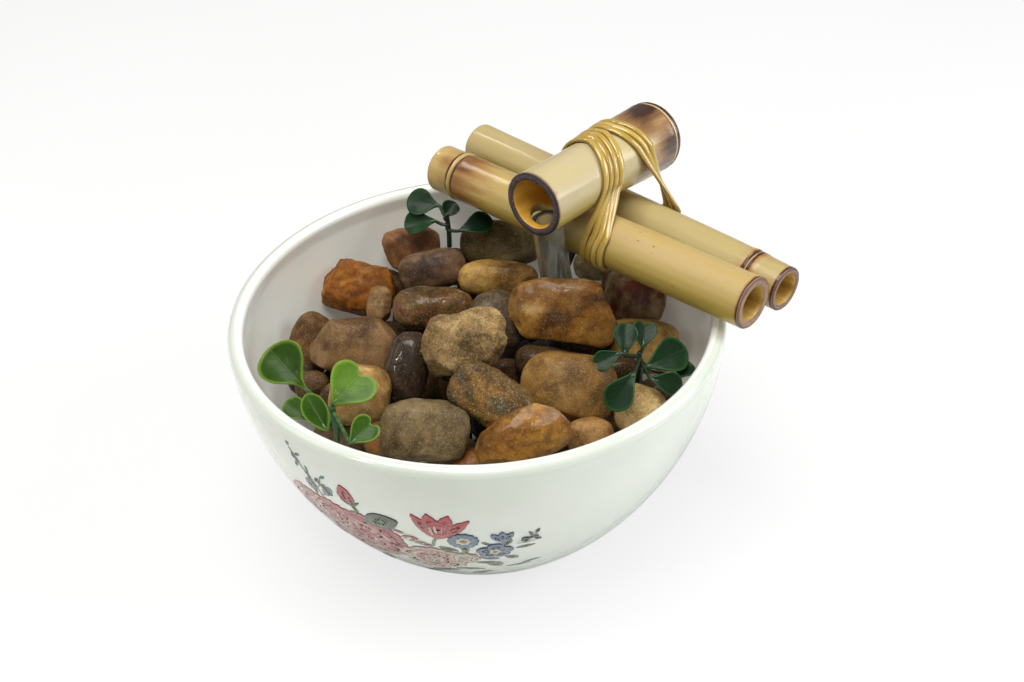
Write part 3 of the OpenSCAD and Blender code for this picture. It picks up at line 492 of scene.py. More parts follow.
class Brush:
    """Paints thin skins on the outside of the bowl, about a spot at an azimuth and height.
    u runs to the right round the wall and v up it."""

    RINGS = (0.4, 0.75, 0.92, 1.0)  # shares of the way from the centre to the outline

    def __init__(self):
        self.parts, self.lift = [], 0.05

    def go(self, azimuth, z):
        self.azimuth, self.z = azimuth, z

    def on_wall(self, uv, lift):
        uv = np.asarray(uv, float)
        z = np.interp(np.interp(self.z, WALL_Z, WALL_LENGTH) + uv[:, 1], WALL_LENGTH, WALL_Z)
        angle = math.radians(self.azimuth) + uv[:, 0] / float(outer_radius(self.z))
        step = 0.05
        slope = (outer_radius(z + step) - outer_radius(z - step)) / (2 * step)
        wall = cylinder(outer_radius(z) * (1 + wheel_wobble(angle)), angle, z)
        return wall + unit(cylinder(1, angle, -slope)) * lift

    def raise_skin(self):
        """Each skin lies a little above the one before."""
        self.lift += 0.0009
        return self.lift

    def add(self, verts, faces, to_edge, colour_index):
        """Adds a skin, turned to face outwards."""
        first, second, third = verts[faces[0][:3]]
        if np.dot(np.cross(second - first, third - first), verts[0] * vec(1, 1, 0)) < 0:
            faces = [face[::-1] for face in faces]
        self.parts.append((verts, faces, {"rad": to_edge}, colour_index))

    def shape(self, outline, colour_index, centre=None):
        centre = outline.mean(0) if centre is None else np.asarray(centre, float)
        count = len(outline)
        skin = np.vstack([centre] + [centre + (outline - centre) * share for share in self.RINGS])
        # the rim of the skin dips under the glaze, so no edge stands up
        rim = self.on_wall(centre + (outline - centre) * 1.015, 0.004)
        verts = np.vstack([self.on_wall(skin, self.raise_skin()), rim])
        faces = fan(0, 1, count) + grid_faces(len(self.RINGS) + 1, count, base=1)
        self.add(verts, faces, [0.0] + list(np.repeat(self.RINGS + (1.1,), count)), colour_index)

    def stroke(self, points, width, colour_index, taper=True):
        path = smooth_path(points, 6)
        count = len(path)
        along = np.gradient(path, axis=0)
        along = along / np.maximum(np.linalg.norm(along, axis=1, keepdims=True), 1e-6)
        side = np.column_stack([-along[:, 1], along[:, 0]])
        share = np.ones(count)
        if taper:
            bulge = np.sin(np.pi * np.clip(np.linspace(0, 1, count) * 0.9 + 0.08, 0, 1))
            share = 0.25 + 0.75 * bulge**0.6
        half = side * (width / 2 * share)[:, None]
        verts = self.on_wall(np.vstack([path + half, path, path - half]), self.raise_skin())
        faces = [[row + i, row + i + 1, row + count + i + 1, row + count + i]
                 for i in range(count - 1) for row in (0, count)]
        self.add(verts, faces, np.repeat([1.0, 0.3, 1.0], count), colour_index)

    def petal(self, at, length, width, angle, colour_index, point=0.0, seed=0, wave=0.05):
        """Petal or leaf from its base, pointing at angle from +u; point 0 is round, 1 sharp."""
        turn = turn_angles(36)
        cos, sin = np.cos(turn), np.sin(turn)
        across = sin / 2 * (1 - 0.35 * cos * (1 - point))
        across = across * (1 - point * 0.25 * (1 - np.abs(sin)))
        across = across * (1 - point * 0.5 * np.abs(cos) ** 3)
        outline = np.column_stack([(1 - cos) / 2 * length, across * width])
        uneven = value_noise(np.column_stack([outline * 1.1, np.full(36, seed * 3.7)]), 11)
        outline = outline + (outline - [length / 2, 0]) * (uneven * wave * 2)[:, None]
        turned = outline[:, :1] * polar(1, angle) + outline[:, 1:] * polar(1, angle + 90)
        self.shape(turned + vec(*at), colour_index)

    def disc(self, at, radius, colour_index, lobes=0, depth=0.0, squash=1.0):
        turn = turn_angles(48)
        radius = radius * (1 - depth + depth * np.abs(np.cos(turn * lobes / 2)))
        outline = np.column_stack([radius * np.cos(turn), radius * np.sin(turn) * squash])
        self.shape(outline + vec(*at), colour_index, centre=at)


# name, main colour, edge colour, wash colour, share of streaks
PAINTS = [
    ("red", "CC3030", "962026", "CE5450", 0.25), ("rose", "C25058", "9E3A46", "D0888C", 0.45),
    ("rose_pale", "D48E90", "BC6A70", "DCB8B4", 0.5),
    ("pink_white", "D3C2BF", "BC9C9F", "D6D6CE", 0.7),
    ("mauve", "9C6A75", "7E5260", "C0A2A6", 0.5), ("blue", "5E7CA6", "48628E", "A2B1C2", 0.4),
    ("blue_grey", "6E9AA8", "4E7C8C", "A6BEC0", 0.35),
    ("cream", "D9D8CC", "C6C4B2", "DCDCD2", 0.3), ("yellow", "C0A052", "8D6B35", "D0C488", 0.3),
    ("green", "6E8452", "46603A", "A0AE8C", 0.3),
    ("green_dark", "383E20", "1E2412", "4A5634", 0.12),
    ("grey_green", "667470", "4F5C58", "98A39C", 0.35)]
# short names for the paints, in the same order
RED, ROSE, BLUSH, SHELL, MAUVE, BLUE, STEEL, CREAM, YELLOW, GREEN, FOREST, SAGE = range(12)

# leaves behind the blooms: azimuth, height, length, width, angle, paint
FOLIAGE = [
    (-128.4, 60, 7, 3.6, 55, STEEL), (-127, 60.5, 6, 3, 95, SAGE), (-130.6, 59, 6.5, 3.2, 120, SAGE),
    (-110.5, 40, 8, 3.4, -30, GREEN), (-112, 33, 9, 4, -60, GREEN),
    (-97.6, 43.5, 6.6, 2.8, 155, GREEN), (-95.6, 42.6, 6.5, 3, 100, GREEN),
    (-93, 41, 7.5, 2.6, 20, GREEN), (-93, 38.5, 7, 2.8, -20, SAGE),
    (-90.6, 34.5, 7.5, 4.6, -60, GREEN), (-94.5, 34, 8.5, 2.6, -10, GREEN),
    (-97, 31, 8, 2.6, 190, FOREST), (-86.5, 38.2, 5.4, 3.0, -35, SAGE),
    (-84.3, 43.8, 6.2, 2.0, 8, SAGE), (-87, 46.3, 5.2, 2.4, 62, GREEN),
    (-89.6, 47.2, 4.2, 1.6, 140, SAGE), (-86, 27.6, 8, 1.7, 6, GREEN),
    (-81.8, 29.6, 6, 1.5, 15, SAGE), (-92, 26.5, 9, 2.2, 176, SAGE), (-99, 25, 10, 2.6, 200, FOREST),
    (-105, 22, 10, 4, 230, GREEN), (-90, 23, 8, 3, 215, GREEN), (-120, 27, 10, 5, 250, GREEN),
    (-131, 34, 10, 5, 215, SAGE)]
SPRAY_STEM = [(-7.6, 12.6), (-5.2, 9.4), (-3.0, 5.2), (-0.6, 1.6), (0.8, -2.8), (1.6, -6.5)]
SPRAY_PETALS = [
    (-7.8, 12.8), (-6.9, 10.8), (-5.6, 10.6), (-5.2, 8.2), (-3.9, 7.6), (-3.0, 5.2), (-1.4, 4.8),
    (-0.9, 2.0), (0.5, 1.8), (1.0, -0.6), (-1.6, 1.0), (2.2, 3.4), (3.2, 5.0), (3.6, -2.2),
    (4.6, -0.4), (-0.4, -2.4), (-2.2, -0.8)]
# open red bloom: angle, length, width, paint, point
OPEN_PETALS = [
    (117, 14.6, 4.0, RED, 0.95), (48, 15.4, 4.0, RED, 0.95), (98, 14.0, 5.2, RED, 0.7),
    (72, 14.4, 5.0, RED, 0.7), (84, 10.6, 7.4, RED, 0.2), (104, 9.2, 3.0, ROSE, 0.5),
    (62, 9.6, 3.0, ROSE, 0.6)]
# its inner marks: u, v, width, paint
OPEN_MARKS = [(-1.2, 4.6, 0.9, SHELL), (0.4, 5.4, 0.9, SHELL), (2.6, 5.0, 0.5, BLUSH),
              (4.2, 7.4, 0.4, MAUVE), (-2.4, 7.4, 0.4, MAUVE)]
# azimuth, height, angle
LOOSE_PETALS = [(-109.6, 52.0, 160), (-108.2, 50.6, 200), (-106.4, 49.4, 150),
                (-105.0, 47.6, 190), (-103.6, 46.2, 170), (-108.8, 47.8, 30)]
# azimuth, height, length, angle
TWIG_LEAVES = [
    (-82.8, 48.0, 2.8, 80), (-82.4, 47.6, 2.4, 40), (-80.9, 50, 2.6, 10), (-80.3, 51.2, 2.8, 120),
    (-79.8, 52.4, 2.4, 60), (-80.5, 49.6, 3.0, 165), (-79.9, 49.2, 2.4, -20)]
# stripes of the dark leaf: distance along the leaf, half width
STRIPES = [(2.6, 2.2), (3.9, 3.0), (5.2, 3.2), (6.5, 3.0), (7.8, 2.5), (9.1, 1.9), (10.3, 1.1)]
DARK_LEAF_ANGLE = 24


def rose(brush, azimuth, z, size, outer, middle, inner, line, seed):
    """A bloom of three rings of petals."""
    brush.go(azimuth, z)
    rng = np.random.default_rng(seed)
    # petals, pitch, first angle, share of size out, lengths, widths, paint, seed
    rings = [(9, 40, 0, 0.34, (0.6, 0.7), (0.62, 0.78), outer, seed),
             (7, 51.4, 20, 0.14, (0.46, 0.56), (0.48, 0.6), middle, seed + 20)]
    for count, pitch, start, out, lengths, widths, shade, first_seed in rings:
        for k in range(count):
            angle = k * pitch + start + rng.uniform(-8, 8)
            length, width = size * rng.uniform(*lengths), size * rng.uniform(*widths)
            brush.petal(polar(size * out, angle), length, width, angle, shade,
                        seed=first_seed + k, wave=0.12)
    for k in range(5):
        angle = k * 72 + 8 + rng.uniform(-8, 8)
        brush.petal((0, 0), size * 0.34, size * 0.34, angle, inner, seed=seed + 40 + k, wave=0.1)
    # folded petal edges as short curved strokes
    for k in range(24):
        radius = size * (0.16 + 0.7 * ((k * 0.618) % 1.0))
        angle = k * 137.5 + rng.uniform(-12, 12)
        reach = rng.uniform(46, 92)
        points = [polar(radius, angle + reach * t) * vec(1 + 0.06 * math.sin(t * 3 + k), 1)
                  for t in (0, 0.33, 0.66, 1)]
        brush.stroke(points, rng.uniform(0.4, 0.8), (line, outer, CREAM, middle)[k % 4])


def paint_foliage(brush):
    for azimuth, z, length, width, angle, shade in FOLIAGE:
        brush.go(azimuth, z)
        brush.petal((0, 0), length, width, angle, shade, point=0.8, seed=int(-azimuth * 7))
        midrib = [polar(length * share, angle) for share in (0.08, 0.5, 0.9)]
        brush.stroke(midrib, 0.35, FOREST if shade == GREEN else SAGE)


def paint_spray(brush):
    """Blue spray at the far left."""
    brush.go(-130.2, 63.5)
    brush.stroke(SPRAY_STEM, 0.55, SAGE, taper=False)
    rng = np.random.default_rng(5)
    for k, spot in enumerate(SPRAY_PETALS):
        length, width = rng.uniform(2.3, 3.4), rng.uniform(1.1, 1.7)
        angle = rng.uniform(-160, 60) if k % 2 else rng.uniform(20, 160)
        brush.petal(spot, length, width, angle, [STEEL, BLUE, SAGE][k % 3], point=0.4, seed=k)
    brush.stroke([(0.2, -2), (2.4, 1.6), (3.4, 5.2)], 0.4, SAGE)
    brush.stroke([(1.2, -5), (3.4, -2.6), (4.6, -0.2)], 0.4, SAGE)


def paint_bud(brush):
    brush.go(-120.9, 61)
    brush.stroke([(0.4, -5.4), (0.6, -2.6), (0.0, 0.4)], 0.7, SAGE)
    brush.go(-120.9, 61.2)
    brush.petal((0.1, -0.6), 9.4, 4.8, 103, RED, point=0.55, seed=2, wave=0.03)
    brush.petal((0.7, -0.2), 6.4, 2.6, 96, ROSE, point=0.7, seed=3)
    brush.petal((-0.6, -0.4), 6.0, 2.0, 124, RED, point=0.9, seed=4)
    brush.go(-120.9, 60.4)
    for angle, length in [(42, 4.2), (150, 4.2), (68, 2.8), (-62, 3.6)]:
        brush.petal((0.1, 0.2), length, 1.1, angle, FOREST if angle > 60 else GREEN, point=0.9,
                    seed=angle)


def paint_dark_leaf(brush):
    """Dark pointed leaf with curved pale stripes."""
    brush.go(-119.0, 53.6)
    brush.petal((0, 0), 13.2, 8.6, DARK_LEAF_ANGLE, FOREST, point=1.0, seed=8, wave=0.02)
    for along, half in STRIPES:
        points = [polar(along - 0.7 * t * t, DARK_LEAF_ANGLE) + polar(half * t, DARK_LEAF_ANGLE + 90)
                  for t in (-1, -0.5, 0, 0.5, 1)]
        brush.stroke(points, 0.55, GREEN)


def paint_open_bloom(brush):
    """Open red bloom with flared outer petals."""
    brush.go(-102.2, 53)
    brush.stroke([(-1.6, -7.2), (-0.9, -4), (0.3, -0.6)], 1.1, GREEN)
    for angle, length, width, shade, point in OPEN_PETALS:
        brush.petal((0.6, -1.4), length, width, angle, shade, point=point, seed=angle + 2,
                    wave=0.04)
    brush.disc((1.1, 3.2), 4.3, RED, squash=0.95)
    for u, v, width, shade in OPEN_MARKS:
        points = [(u * 0.7 + 0.3, v - 3.4), (u * 0.9 + 0.1, v - 1), (u, v + 1.0)]
        brush.stroke(points, width, shade)


def paint_blue_blooms(brush):
    # round bloom
    brush.go(-96.1, 50.8)
    brush.disc((0, 0), 4.9, BLUE, lobes=14, depth=0.12)
    brush.disc((0, 0.1), 2.5, CREAM, lobes=7, depth=0.2)
    brush.disc((0, 0.1), 0.8, YELLOW)
    for k in range(14):
        angle = k * 360 / 14
        brush.stroke([polar(2.7, angle), polar(4.4, angle + math.degrees(0.1))], 0.3, STEEL)
    brush.go(-96.1, 46)
    brush.stroke([(-0.6, -4.5), (-0.2, -2), (0, 0)], 0.7, GREEN)
    # five-petalled bloom
    brush.go(-89.0, 43.2)
    for k in range(5):
        brush.petal((0, 0), 5.6, 4.6, 90 + 72 * k + (5 if k % 2 else -4), BLUE, seed=60 + k,
                    point=0.1, wave=0.08)
    brush.petal((0, 0), 4.6, 2.4, 20, STEEL, point=0.5, seed=71)
    brush.disc((0, 0), 2.0, CREAM, lobes=5, depth=0.25)
    brush.disc((0, 0), 0.6, YELLOW)
    # bell
    brush.go(-87.3, 50.8)
    for angle in (58, 90, 122):
        brush.petal((0, -1.2), 6.0, 2.4, angle, BLUE, point=0.3, seed=angle)
    brush.stroke([(0.2, -1), (0.1, -3.2), (-0.4, -5)], 0.45, SAGE)


def paint_twigs(brush):
    """Dark twigs at the right."""
    brush.go(-82.2, 47.4)
    brush.stroke([(-2.4, 0.4), (0.5, 0.2), (4.2, 1.0)], 0.5, SAGE)
    brush.go(-80.6, 50.2)
    brush.stroke([(-1.6, -1.8), (0.4, 0.4), (1.8, 3.8)], 0.5, SAGE)
    for azimuth, z, length, angle in TWIG_LEAVES:
        brush.go(azimuth, z)
        brush.petal((0, 0), length, 0.95, angle, SAGE, point=0.8, seed=int(z * 9))


def build_print():
    """Skins are painted from the back of the design to its front."""
    materials = [paint(*row) for row in PAINTS]
    brush = Brush()
    paint_foliage(brush)
    paint_spray(brush)
    rose(brush, -134.5, 48.5, 10.5, BLUSH, ROSE, BLUSH, MAUVE, seed=3)
    rose(brush, -121.5, 43.2, 15.2, ROSE, BLUSH, ROSE, RED, seed=4)
    rose(brush, -128.8, 50.2, 8.0, BLUSH, ROSE, BLUSH, ROSE, seed=14)
    paint_bud(brush)
    paint_dark_leaf(brush)
    paint_open_bloom(brush)
    for k, (azimuth, z, angle) in enumerate(LOOSE_PETALS):
        brush.go(azimuth, z)
        brush.petal((0, 0), 3.4, 1.2, angle, [BLUSH, SHELL][k % 2], point=0.6, seed=k)
        brush.stroke([(0, 0.3), (-1.3, 0.9), (-2.4, 0.5)], 0.32, MAUVE)
    # pale blooms low in the middle
    rose(brush, -104.5, 35.5, 10.5, SHELL, BLUSH, SHELL, MAUVE, seed=6)
    rose(brush, -96.4, 38.0, 4.8, SHELL, CREAM, SHELL, BLUSH, seed=16)
    paint_blue_blooms(brush)
    paint_twigs(brush)
    make("bowl_print", materials, slot="glazed_ceramic", **joined(brush.parts))


build_print()


# ---------------------------------------------------------------- stones
def subdivided(node, levels, crisp=1):
    """Vertices and faces of a CAD stone, rounded by subdivision; crisp levels keep its flats."""
    mesh = NODES[node].data.copy()
    bm = bmesh.new()
    bm.from_mesh(mesh)
    bmesh.ops.remove_doubles(bm, verts=bm.verts, dist=2e-6)
    bm.to_mesh(mesh)
    bm.free()
    ob = bpy.data.objects.new("tmp_stone", mesh)
    bpy.context.scene.collection.objects.link(ob)
    flat = max(min(crisp, levels - 1), 0)
    for kind, count in (("SIMPLE", flat), ("CATMULL_CLARK", levels - flat)):
        if count > 0:
            modifier = ob.modifiers.new("s", "SUBSURF")
            modifier.subdivision_type = kind
            modifier.levels = modifier.render_levels = count
    depsgraph = bpy.context.evaluated_depsgraph_get()
    smooth = bpy.data.meshes.new_from_object(ob.evaluated_get(depsgraph))
    verts = np.zeros(len(smooth.vertices) * 3)
    smooth.vertices.foreach_get("co", verts)
    faces = [list(polygon.vertices) for polygon in smooth.polygons]
    bpy.data.objects.remove(ob)
    bpy.data.meshes.remove(mesh)
    bpy.data.meshes.remove(smooth)
    return verts.reshape(-1, 3) / MM, faces


def islands(verts, faces):
    """Splits joined stones into their own vertices and faces."""
    parent = np.arange(len(verts))

    def find(i):
        while parent[i] != i:
            parent[i] = parent[parent[i]]
            i = parent[i]
        return i

    for face in faces:
        first = find(face[0])
        for other in face[1:]:
            other = find(other)
            if first != other:
                parent[other] = first
    root = np.array([find(i) for i in range(len(verts))])
    face_root = np.array([root[face[0]] for face in faces])
    split = []
    for group in np.unique(root):
        ids = np.where(root == group)[0]
        local = {int(i): k for k, i in enumerate(ids)}
        own = [[local[i] for i in faces[j]] for j in np.where(face_root == group)[0]]
        split.append((verts[ids], own))
    return split


def weather(verts, seed, facets, lump=0.5, fine=0.1, cut=0.86, soft=0.85, block=0.5):
    """Makes a smooth lump look like a river stone: fuller shoulders (block), flats worn by
    chance planes (facets, cut, soft), low lumps and a fine skin."""
    centre = verts.mean(0)
    points = verts - centre
    rng = np.random.default_rng(seed)
    # the corners of the lump are pushed out, along its own axes
    axes = np.linalg.svd(points, full_matrices=False)[2]
    turned = points @ axes.T
    around = unit(turned / np.abs(turned).max(0))
    points = points * (((np.abs(around) ** 3).sum(1) ** (-1 / 3)) ** block)[:, None]
    for _ in range(facets):
        normal = unit(rng.normal(size=3))
        height = points @ normal
        limit = height.max() * rng.uniform(cut - 0.06, cut + 0.06)
        points = points - normal * (np.maximum(height - limit, 0) * soft)[:, None]
    outward = unit(points)
    low = fbm(points / 9.0 + seed * 3.1, seed, 3)
    middle = fbm(points / 2.6 + seed * 1.7, seed + 5, 3)
    skin = fbm(points / 0.9, seed + 9, 2)
    relief = (low - 0.35) * lump + (middle - 0.2) * fine * 1.6 + skin * fine * 0.45
    return points + outward * relief[:, None] + centre


def stone_mat(name, swatches, seed, speck=0.3, speck_col="3A2A22", light="C9B79A", vein=0.0,
              vein_col="5A2E22", band=None, wet=0.0, rough=0.5, bump=0.12, scale=1.0,
              rot=(0.4, 0.8, 0.3)):
    """Swatches run dark to light; band stretches the colour clouds into layers."""
    mat = Mat("stone_" + name)
    cols = [tone(swatch, light=0.92, blue=0.74) for swatch in swatches.split()]
    light = tone(light, light=0.8, blue=0.75)
    vein_col = tone(vein_col, light=0.9, blue=0.7)
    co = mat.coords(shift=(seed * 0.037, seed * 0.021, seed * 0.013), turn=rot)
    clouds = mat.noise(scale=70 * scale, co=co, detail=5, rough=0.55, distort=0.4)
    if band:
        layers = mat.noise(co=co, stretch=(band, 28, 28), detail=5, rough=0.6, distort=0.8)
        clouds = mat.add(mat.mul(layers, 0.7), mat.mul(clouds, 0.3))
    gap = max(len(cols) - 1, 1)
    base = mat.ramp(clouds, {0.33 + 0.36 * i / gap: swatch for i, swatch in enumerate(cols)})
    # paler worn patches and darker mineral clouds
    patch = mat.noise(scale=34 * scale, co=co, shift=(3.1, 0.7, 1.9), detail=5, rough=0.6,
                      distort=0.6)
    base = mat.blend(base, light, mat.fade(patch, over=(0.54, 0.7), to=(0.0, 0.45)))
    base = mat.blend(base, mat.blend(base, cols[0], fac=1.0, mode="MULTIPLY"),
                     mat.fade(patch, over=(0.46, 0.3), to=(0.0, 0.6)))
    middle = mat.noise(scale=330 * scale, co=co, detail=5, rough=0.65)
    base = mat.blend(base, mat.blend(base, cols[0], fac=0.7, mode="MULTIPLY"),
                     mat.fade(middle, over=(0.38, 0.66), to=(0.0, 0.7)))
    grain = mat.noise(scale=1900, co=co, detail=3, rough=0.7)
    base = mat.blend(base, speck_col, mat.fade(grain, over=(0.54, 0.66)),
                     amount=mat.math("MINIMUM", speck * 1.4, 1.0))
    base = mat.blend(base, light, mat.fade(grain, over=(0.44, 0.34)), amount=speck * 1.2)
    dots = mat.fade(mat.voronoi(scale=900, co=co), over=(0.16, 0.08))
    base = mat.blend(base, speck_col, dots, amount=speck * 0.8)
    height = mat.add(mat.mul(middle, 0.7), mat.mul(grain, 0.3))
    if vein:
        field = mat.noise(scale=48 * scale, co=co, detail=4, rough=0.6, distort=1.6)
        line = mat.fade(mat.math("ABSOLUTE", mat.sub(field, 0.5)), over=(0.016, 0.0))
        base = mat.blend(base, vein_col, line, amount=vein)
        height = mat.sub(height, mat.mul(line, 0.25 * vein))
    # water film, darker and glossier
    film = mat.fade(mat.noise(scale=55, shift=(0.2, 0, 0), detail=2), over=(0.4, 0.58))
    cover = mat.mul(mat.add(mat.mul(film, 0.8), 0.2), wet)
    base = mat.blend(base, mat.blend(base, "8A7C70", fac=1.0, mode="MULTIPLY"), cover, amount=0.45)
    dry_rough = mat.fade(middle, over=(0.3, 0.7), to=(rough - 0.08, rough + 0.14))
    wet_normal = mat.bump(mat.noise(scale=420, co=co, detail=2), depth=0.07, strength=0.7)
    return mat.finish(color=base, rough=mat.sub(dry_rough, mat.mul(cover, 0.22)),
                      coat=mat.mul(cover, 0.6), coat_rough=0.04, coat_normal=wet_normal,
                      normal=mat.bump(height, depth=bump), ior=1.45, spec=0.22)


PLAIN = (1.03, 1.03, 1.03)
# stone_01 onwards: colours dark to light, crisp levels, size against the plain stone (stones
# that lean on a neighbour are fuller), how it is marked, how it is worn
STONES = [
    ("6A3C12 94581C B07426", 2, (1.06, 1.05, 1.1), dict(speck=0.25, bump=0.2, light="C08A3C"),
     dict(facets=8, cut=0.84, lump=1.6, fine=0.3)),
    ("6E4A30 9A6C4A B08A66", 2, (1.1, 1.08, 1.08), dict(light="A88864", scale=0.8),
     dict(facets=5, lump=1.0)),
    ("4E382C 745A4A 927866", 1, PLAIN, dict(speck=0.25, rough=0.42, light="A8927E"),
     dict(facets=2, block=0.7)),
    ("6A4A30 8A6848 A4845E", 1, (1.12, 1.1, 1.1), dict(speck=0.35), dict(facets=4, lump=0.6)),
    ("3C2A16 604420 7A5A34 6E3020", 1, (1.05, 1.05, 1.05),
     dict(speck=0.35, wet=0.5, rough=0.4, vein=0.5, vein_col="7E3420"), dict(facets=3, lump=0.7)),
    ("5E4228 88684A A48668", 1, (1.08, 1.08, 1.06),
     dict(speck=0.35, rough=0.48, scale=0.7, light="B89C80"), dict(facets=9, lump=0.9, cut=0.83)),
    ("5A3E24 7E5A38 94704A", 1, (1.3, 1.25, 1.22), dict(rough=0.55),
     dict(facets=5, lump=0.6, block=0.6)),
    ("46301E 604630 745A40", 1, (1.3, 1.25, 1.25), {}, dict(facets=2)),
    ("8A6234 B08C5C CDB184", 1, PLAIN,
     dict(speck=0.35, speck_col="7A4A22", light="E0CCA6", rough=0.45), dict(facets=3, block=0.7)),
    ("2E221A 4A3A30 6A5850", 1, (1.08, 1.08, 1.06),
     dict(speck=0.25, wet=0.8, rough=0.38, vein=0.2, vein_col="6B4A3C"), dict(facets=4, lump=0.8)),
    ("6A563C 967A5C B49A74", 2, PLAIN,
     dict(speck=0.7, light="B8A27C", rough=0.62, bump=0.3, vein=0.6, vein_col="A8863C", scale=1.2),
     dict(facets=16, cut=0.8, soft=0.95, lump=1.1, fine=0.34, block=0.7)),
    ("54422F 7A664E 988A74", 2, (1.05, 1.05, 1.04),
     dict(speck=0.4, light="B0A690", rough=0.42, scale=0.75),
     dict(facets=7, cut=0.88, lump=0.6, block=0.75)),
    ("33302A 5E4A2C 8A6430 6A6450", 2, (1.08, 1.08, 1.05),
     dict(speck=0.5, rough=0.45, wet=0.25, band=150, rot=(0.2, 0.7, 0.1)),
     dict(facets=11, lump=0.8, fine=0.2, block=0.75)),
    ("52391A 8A5A20 A87630 6E5430", 1, PLAIN,
     dict(wet=0.35, rough=0.4, scale=0.8, vein=0.3, vein_col="4A3014"),
     dict(facets=10, lump=1.0, cut=0.84, soft=0.92, block=0.4)),
    ("6A4C26 8E6A38 A27E4A", 1, PLAIN, dict(rough=0.45, scale=0.6, bump=0.08),
     dict(facets=5, lump=0.6, block=0.38)),
    ("6C4A28 966E42 B08858", 1, (1.12, 1.1, 1.1), {}, dict(facets=3)),
    ("A0845A CCB082 E0CCA0", 1, PLAIN, dict(speck=0.6, speck_col="6E4E2E", light="E0D2B2"),
     dict(facets=3)),
    ("52361A 8A5C24 A47634 7E6038", 1, (1.05, 1.05, 1.04),
     dict(wet=0.45, rough=0.4, vein=0.3, vein_col="4E3010", scale=0.8),
     dict(facets=9, lump=1.1, cut=0.85, soft=0.92, block=0.35)),
    ("362C24 5A4C3E 7A6C5C", 1, (1.2, 1.2, 1.12), dict(speck=0.6, rough=0.42, light="8E8070"),
     dict(facets=3)),
    ("7E5C2C AA8446 C29C60", 1, PLAIN, dict(speck=0.35, rough=0.42), dict(facets=3, lump=0.6)),
    ("4A3C22 6E5C38 887650", 1, (1.15, 1.08, 1.1), dict(speck=0.35, scale=0.9),
     dict(facets=6, lump=0.9, block=0.55)),
    ("5A2214 84402A C8AC90 8E4830", 1, (1.1, 1.08, 1.06),
     dict(speck=0.2, wet=0.8, rough=0.35, band=95, rot=(0.1, 0.2, 0.9)),
     dict(facets=5, lump=0.8, block=0.6)),
    ("8E6C3C B08C54 C6A672", 1, (1.1, 1.1, 1.1), dict(speck=0.35),
     dict(facets=5, lump=0.6, block=0.55)),
    ("867660 AA9A80 C0B298", 1, (1.1, 1.08, 1.08), dict(speck=0.4, rough=0.45), dict(facets=3)),
]
SLOT_OF = {node: material.get("slot") for material in frame["record"].get("materials", [])
           for node in material.get("nodes", []) or []}


def fitted(verts, like, size):
    """Brings a worn stone back to the box of the plain one, times size."""
    low, high = like.min(0), like.max(0)
    worn_low, worn_high = verts.min(0), verts.max(0)
    scale = (high - low) / (worn_high - worn_low) * size
    return (verts - (worn_low + worn_high) / 2) * scale + (low + high) / 2


def build_stones():
    levels = 3
    for i, (swatches, crisp, size, look, wear) in enumerate(STONES):
        number = "%02d" % (i + 1)
        node = "stone_" + number
        verts, faces = subdivided(node, levels, crisp)
        plain = islands(*subdivided(node, 0))[0][0]
        verts = fitted(weather(verts, 100 + i, **wear), plain, vec(*size))
        make(node + "_worn", [stone_mat(number, swatches, seed=i + 1, **look)], verts, faces,
             replaces=node, slot=SLOT_OF.get(node))


def build_pile(node, materials, levels, seed, size, order, pick):
    """Small stones in one mesh; order sorts them by centre, pick chooses a material."""
    plain = islands(*subdivided(node, 0))
    lumps = islands(*subdivided(node, levels))
    parts = []
    for k, (verts, faces) in enumerate(sorted(lumps, key=lambda lump: order(lump[0].mean(0)))):
        centre = verts.mean(0)
        like = min(plain, key=lambda stone: np.linalg.norm(stone[0].mean(0) - centre))[0]
        worn = fitted(weather(verts, seed + k, facets=3), like, size)
        parts.append((worn, faces, {}, pick(k, centre)))
    make(node + "_worn", materials, replaces=node, slot=SLOT_OF.get(node), **joined(parts))


build_stones()
# the gap stones nearest the camera are orange; the rest are near-black brown, partly their own colour
# and partly painted shade for the hollows between the big stones
build_pile(
    "gap_stones",
    [stone_mat("gap_a", "64391B 8C592B A0703C", 41, wet=0.4),
     stone_mat("gap_b", "2A1F16 443423 5A4630", 42, wet=0.2),
     stone_mat("gap_c", "302012 4C341E 66482C", 43, wet=0.2)],
    levels=2, seed=200, size=1.2, order=lambda centre: round(centre[0], 1),
    pick=lambda k, centre: 0 if centre[1] < -30 else 1 + k % 2)
# the bed stones under the pile are near-black brown too: partly their own colour, partly painted shade
build_pile(
    "bed_stones",
    [stone_mat("bed_a", "2A1E14 42301E 54402A", 51, wet=0.2),
     stone_mat("bed_b", "34281A 504028 665236", 52, wet=0.15),
     stone_mat("bed_c", "28241E 403A30 565044", 53, wet=0.2),
     stone_mat("bed_d", "3E2816 5A3E22 70522E", 54, wet=0.15)],
    levels=1, seed=300, size=1.14, order=lambda centre: (round(centre[2]), round(centre[0], 1)),
    pick=lambda k, centre: k % 4)


# ---------------------------------------------------------------- bamboo
class Culm:
    """A bamboo pipe's middle line from its near to its far end, with its side and down axes."""

    def __init__(self, near, far, radius, bore):
        self.near, self.far, self.radius, self.bore = vec(*near), vec(*far), radius, bore
        self.length = float(np.linalg.norm(self.far - self.near))
        self.along = unit(self.far - self.near)
        self.side = unit(np.cross(self.along, vec(0, 0, 1)))
        self.down = np.cross(self.along, self.side)
        self.plan = unit((self.far - self.near)[:2])

    def height(self, distance):
        """Height of the middle line at a distance in plan from the near end."""
        run = self.far - self.near
        return self.near[2] + run[2] * distance / np.linalg.norm(run[:2])

    def crossing(self, other):
        """Distance in plan along this pipe to where it crosses another."""
        gap, mine, theirs = other.near - self.near, self.plan, other.plan
        return ((gap[0] * theirs[1] - gap[1] * theirs[0])
                / (mine[0] * theirs[1] - mine[1] * theirs[0]))


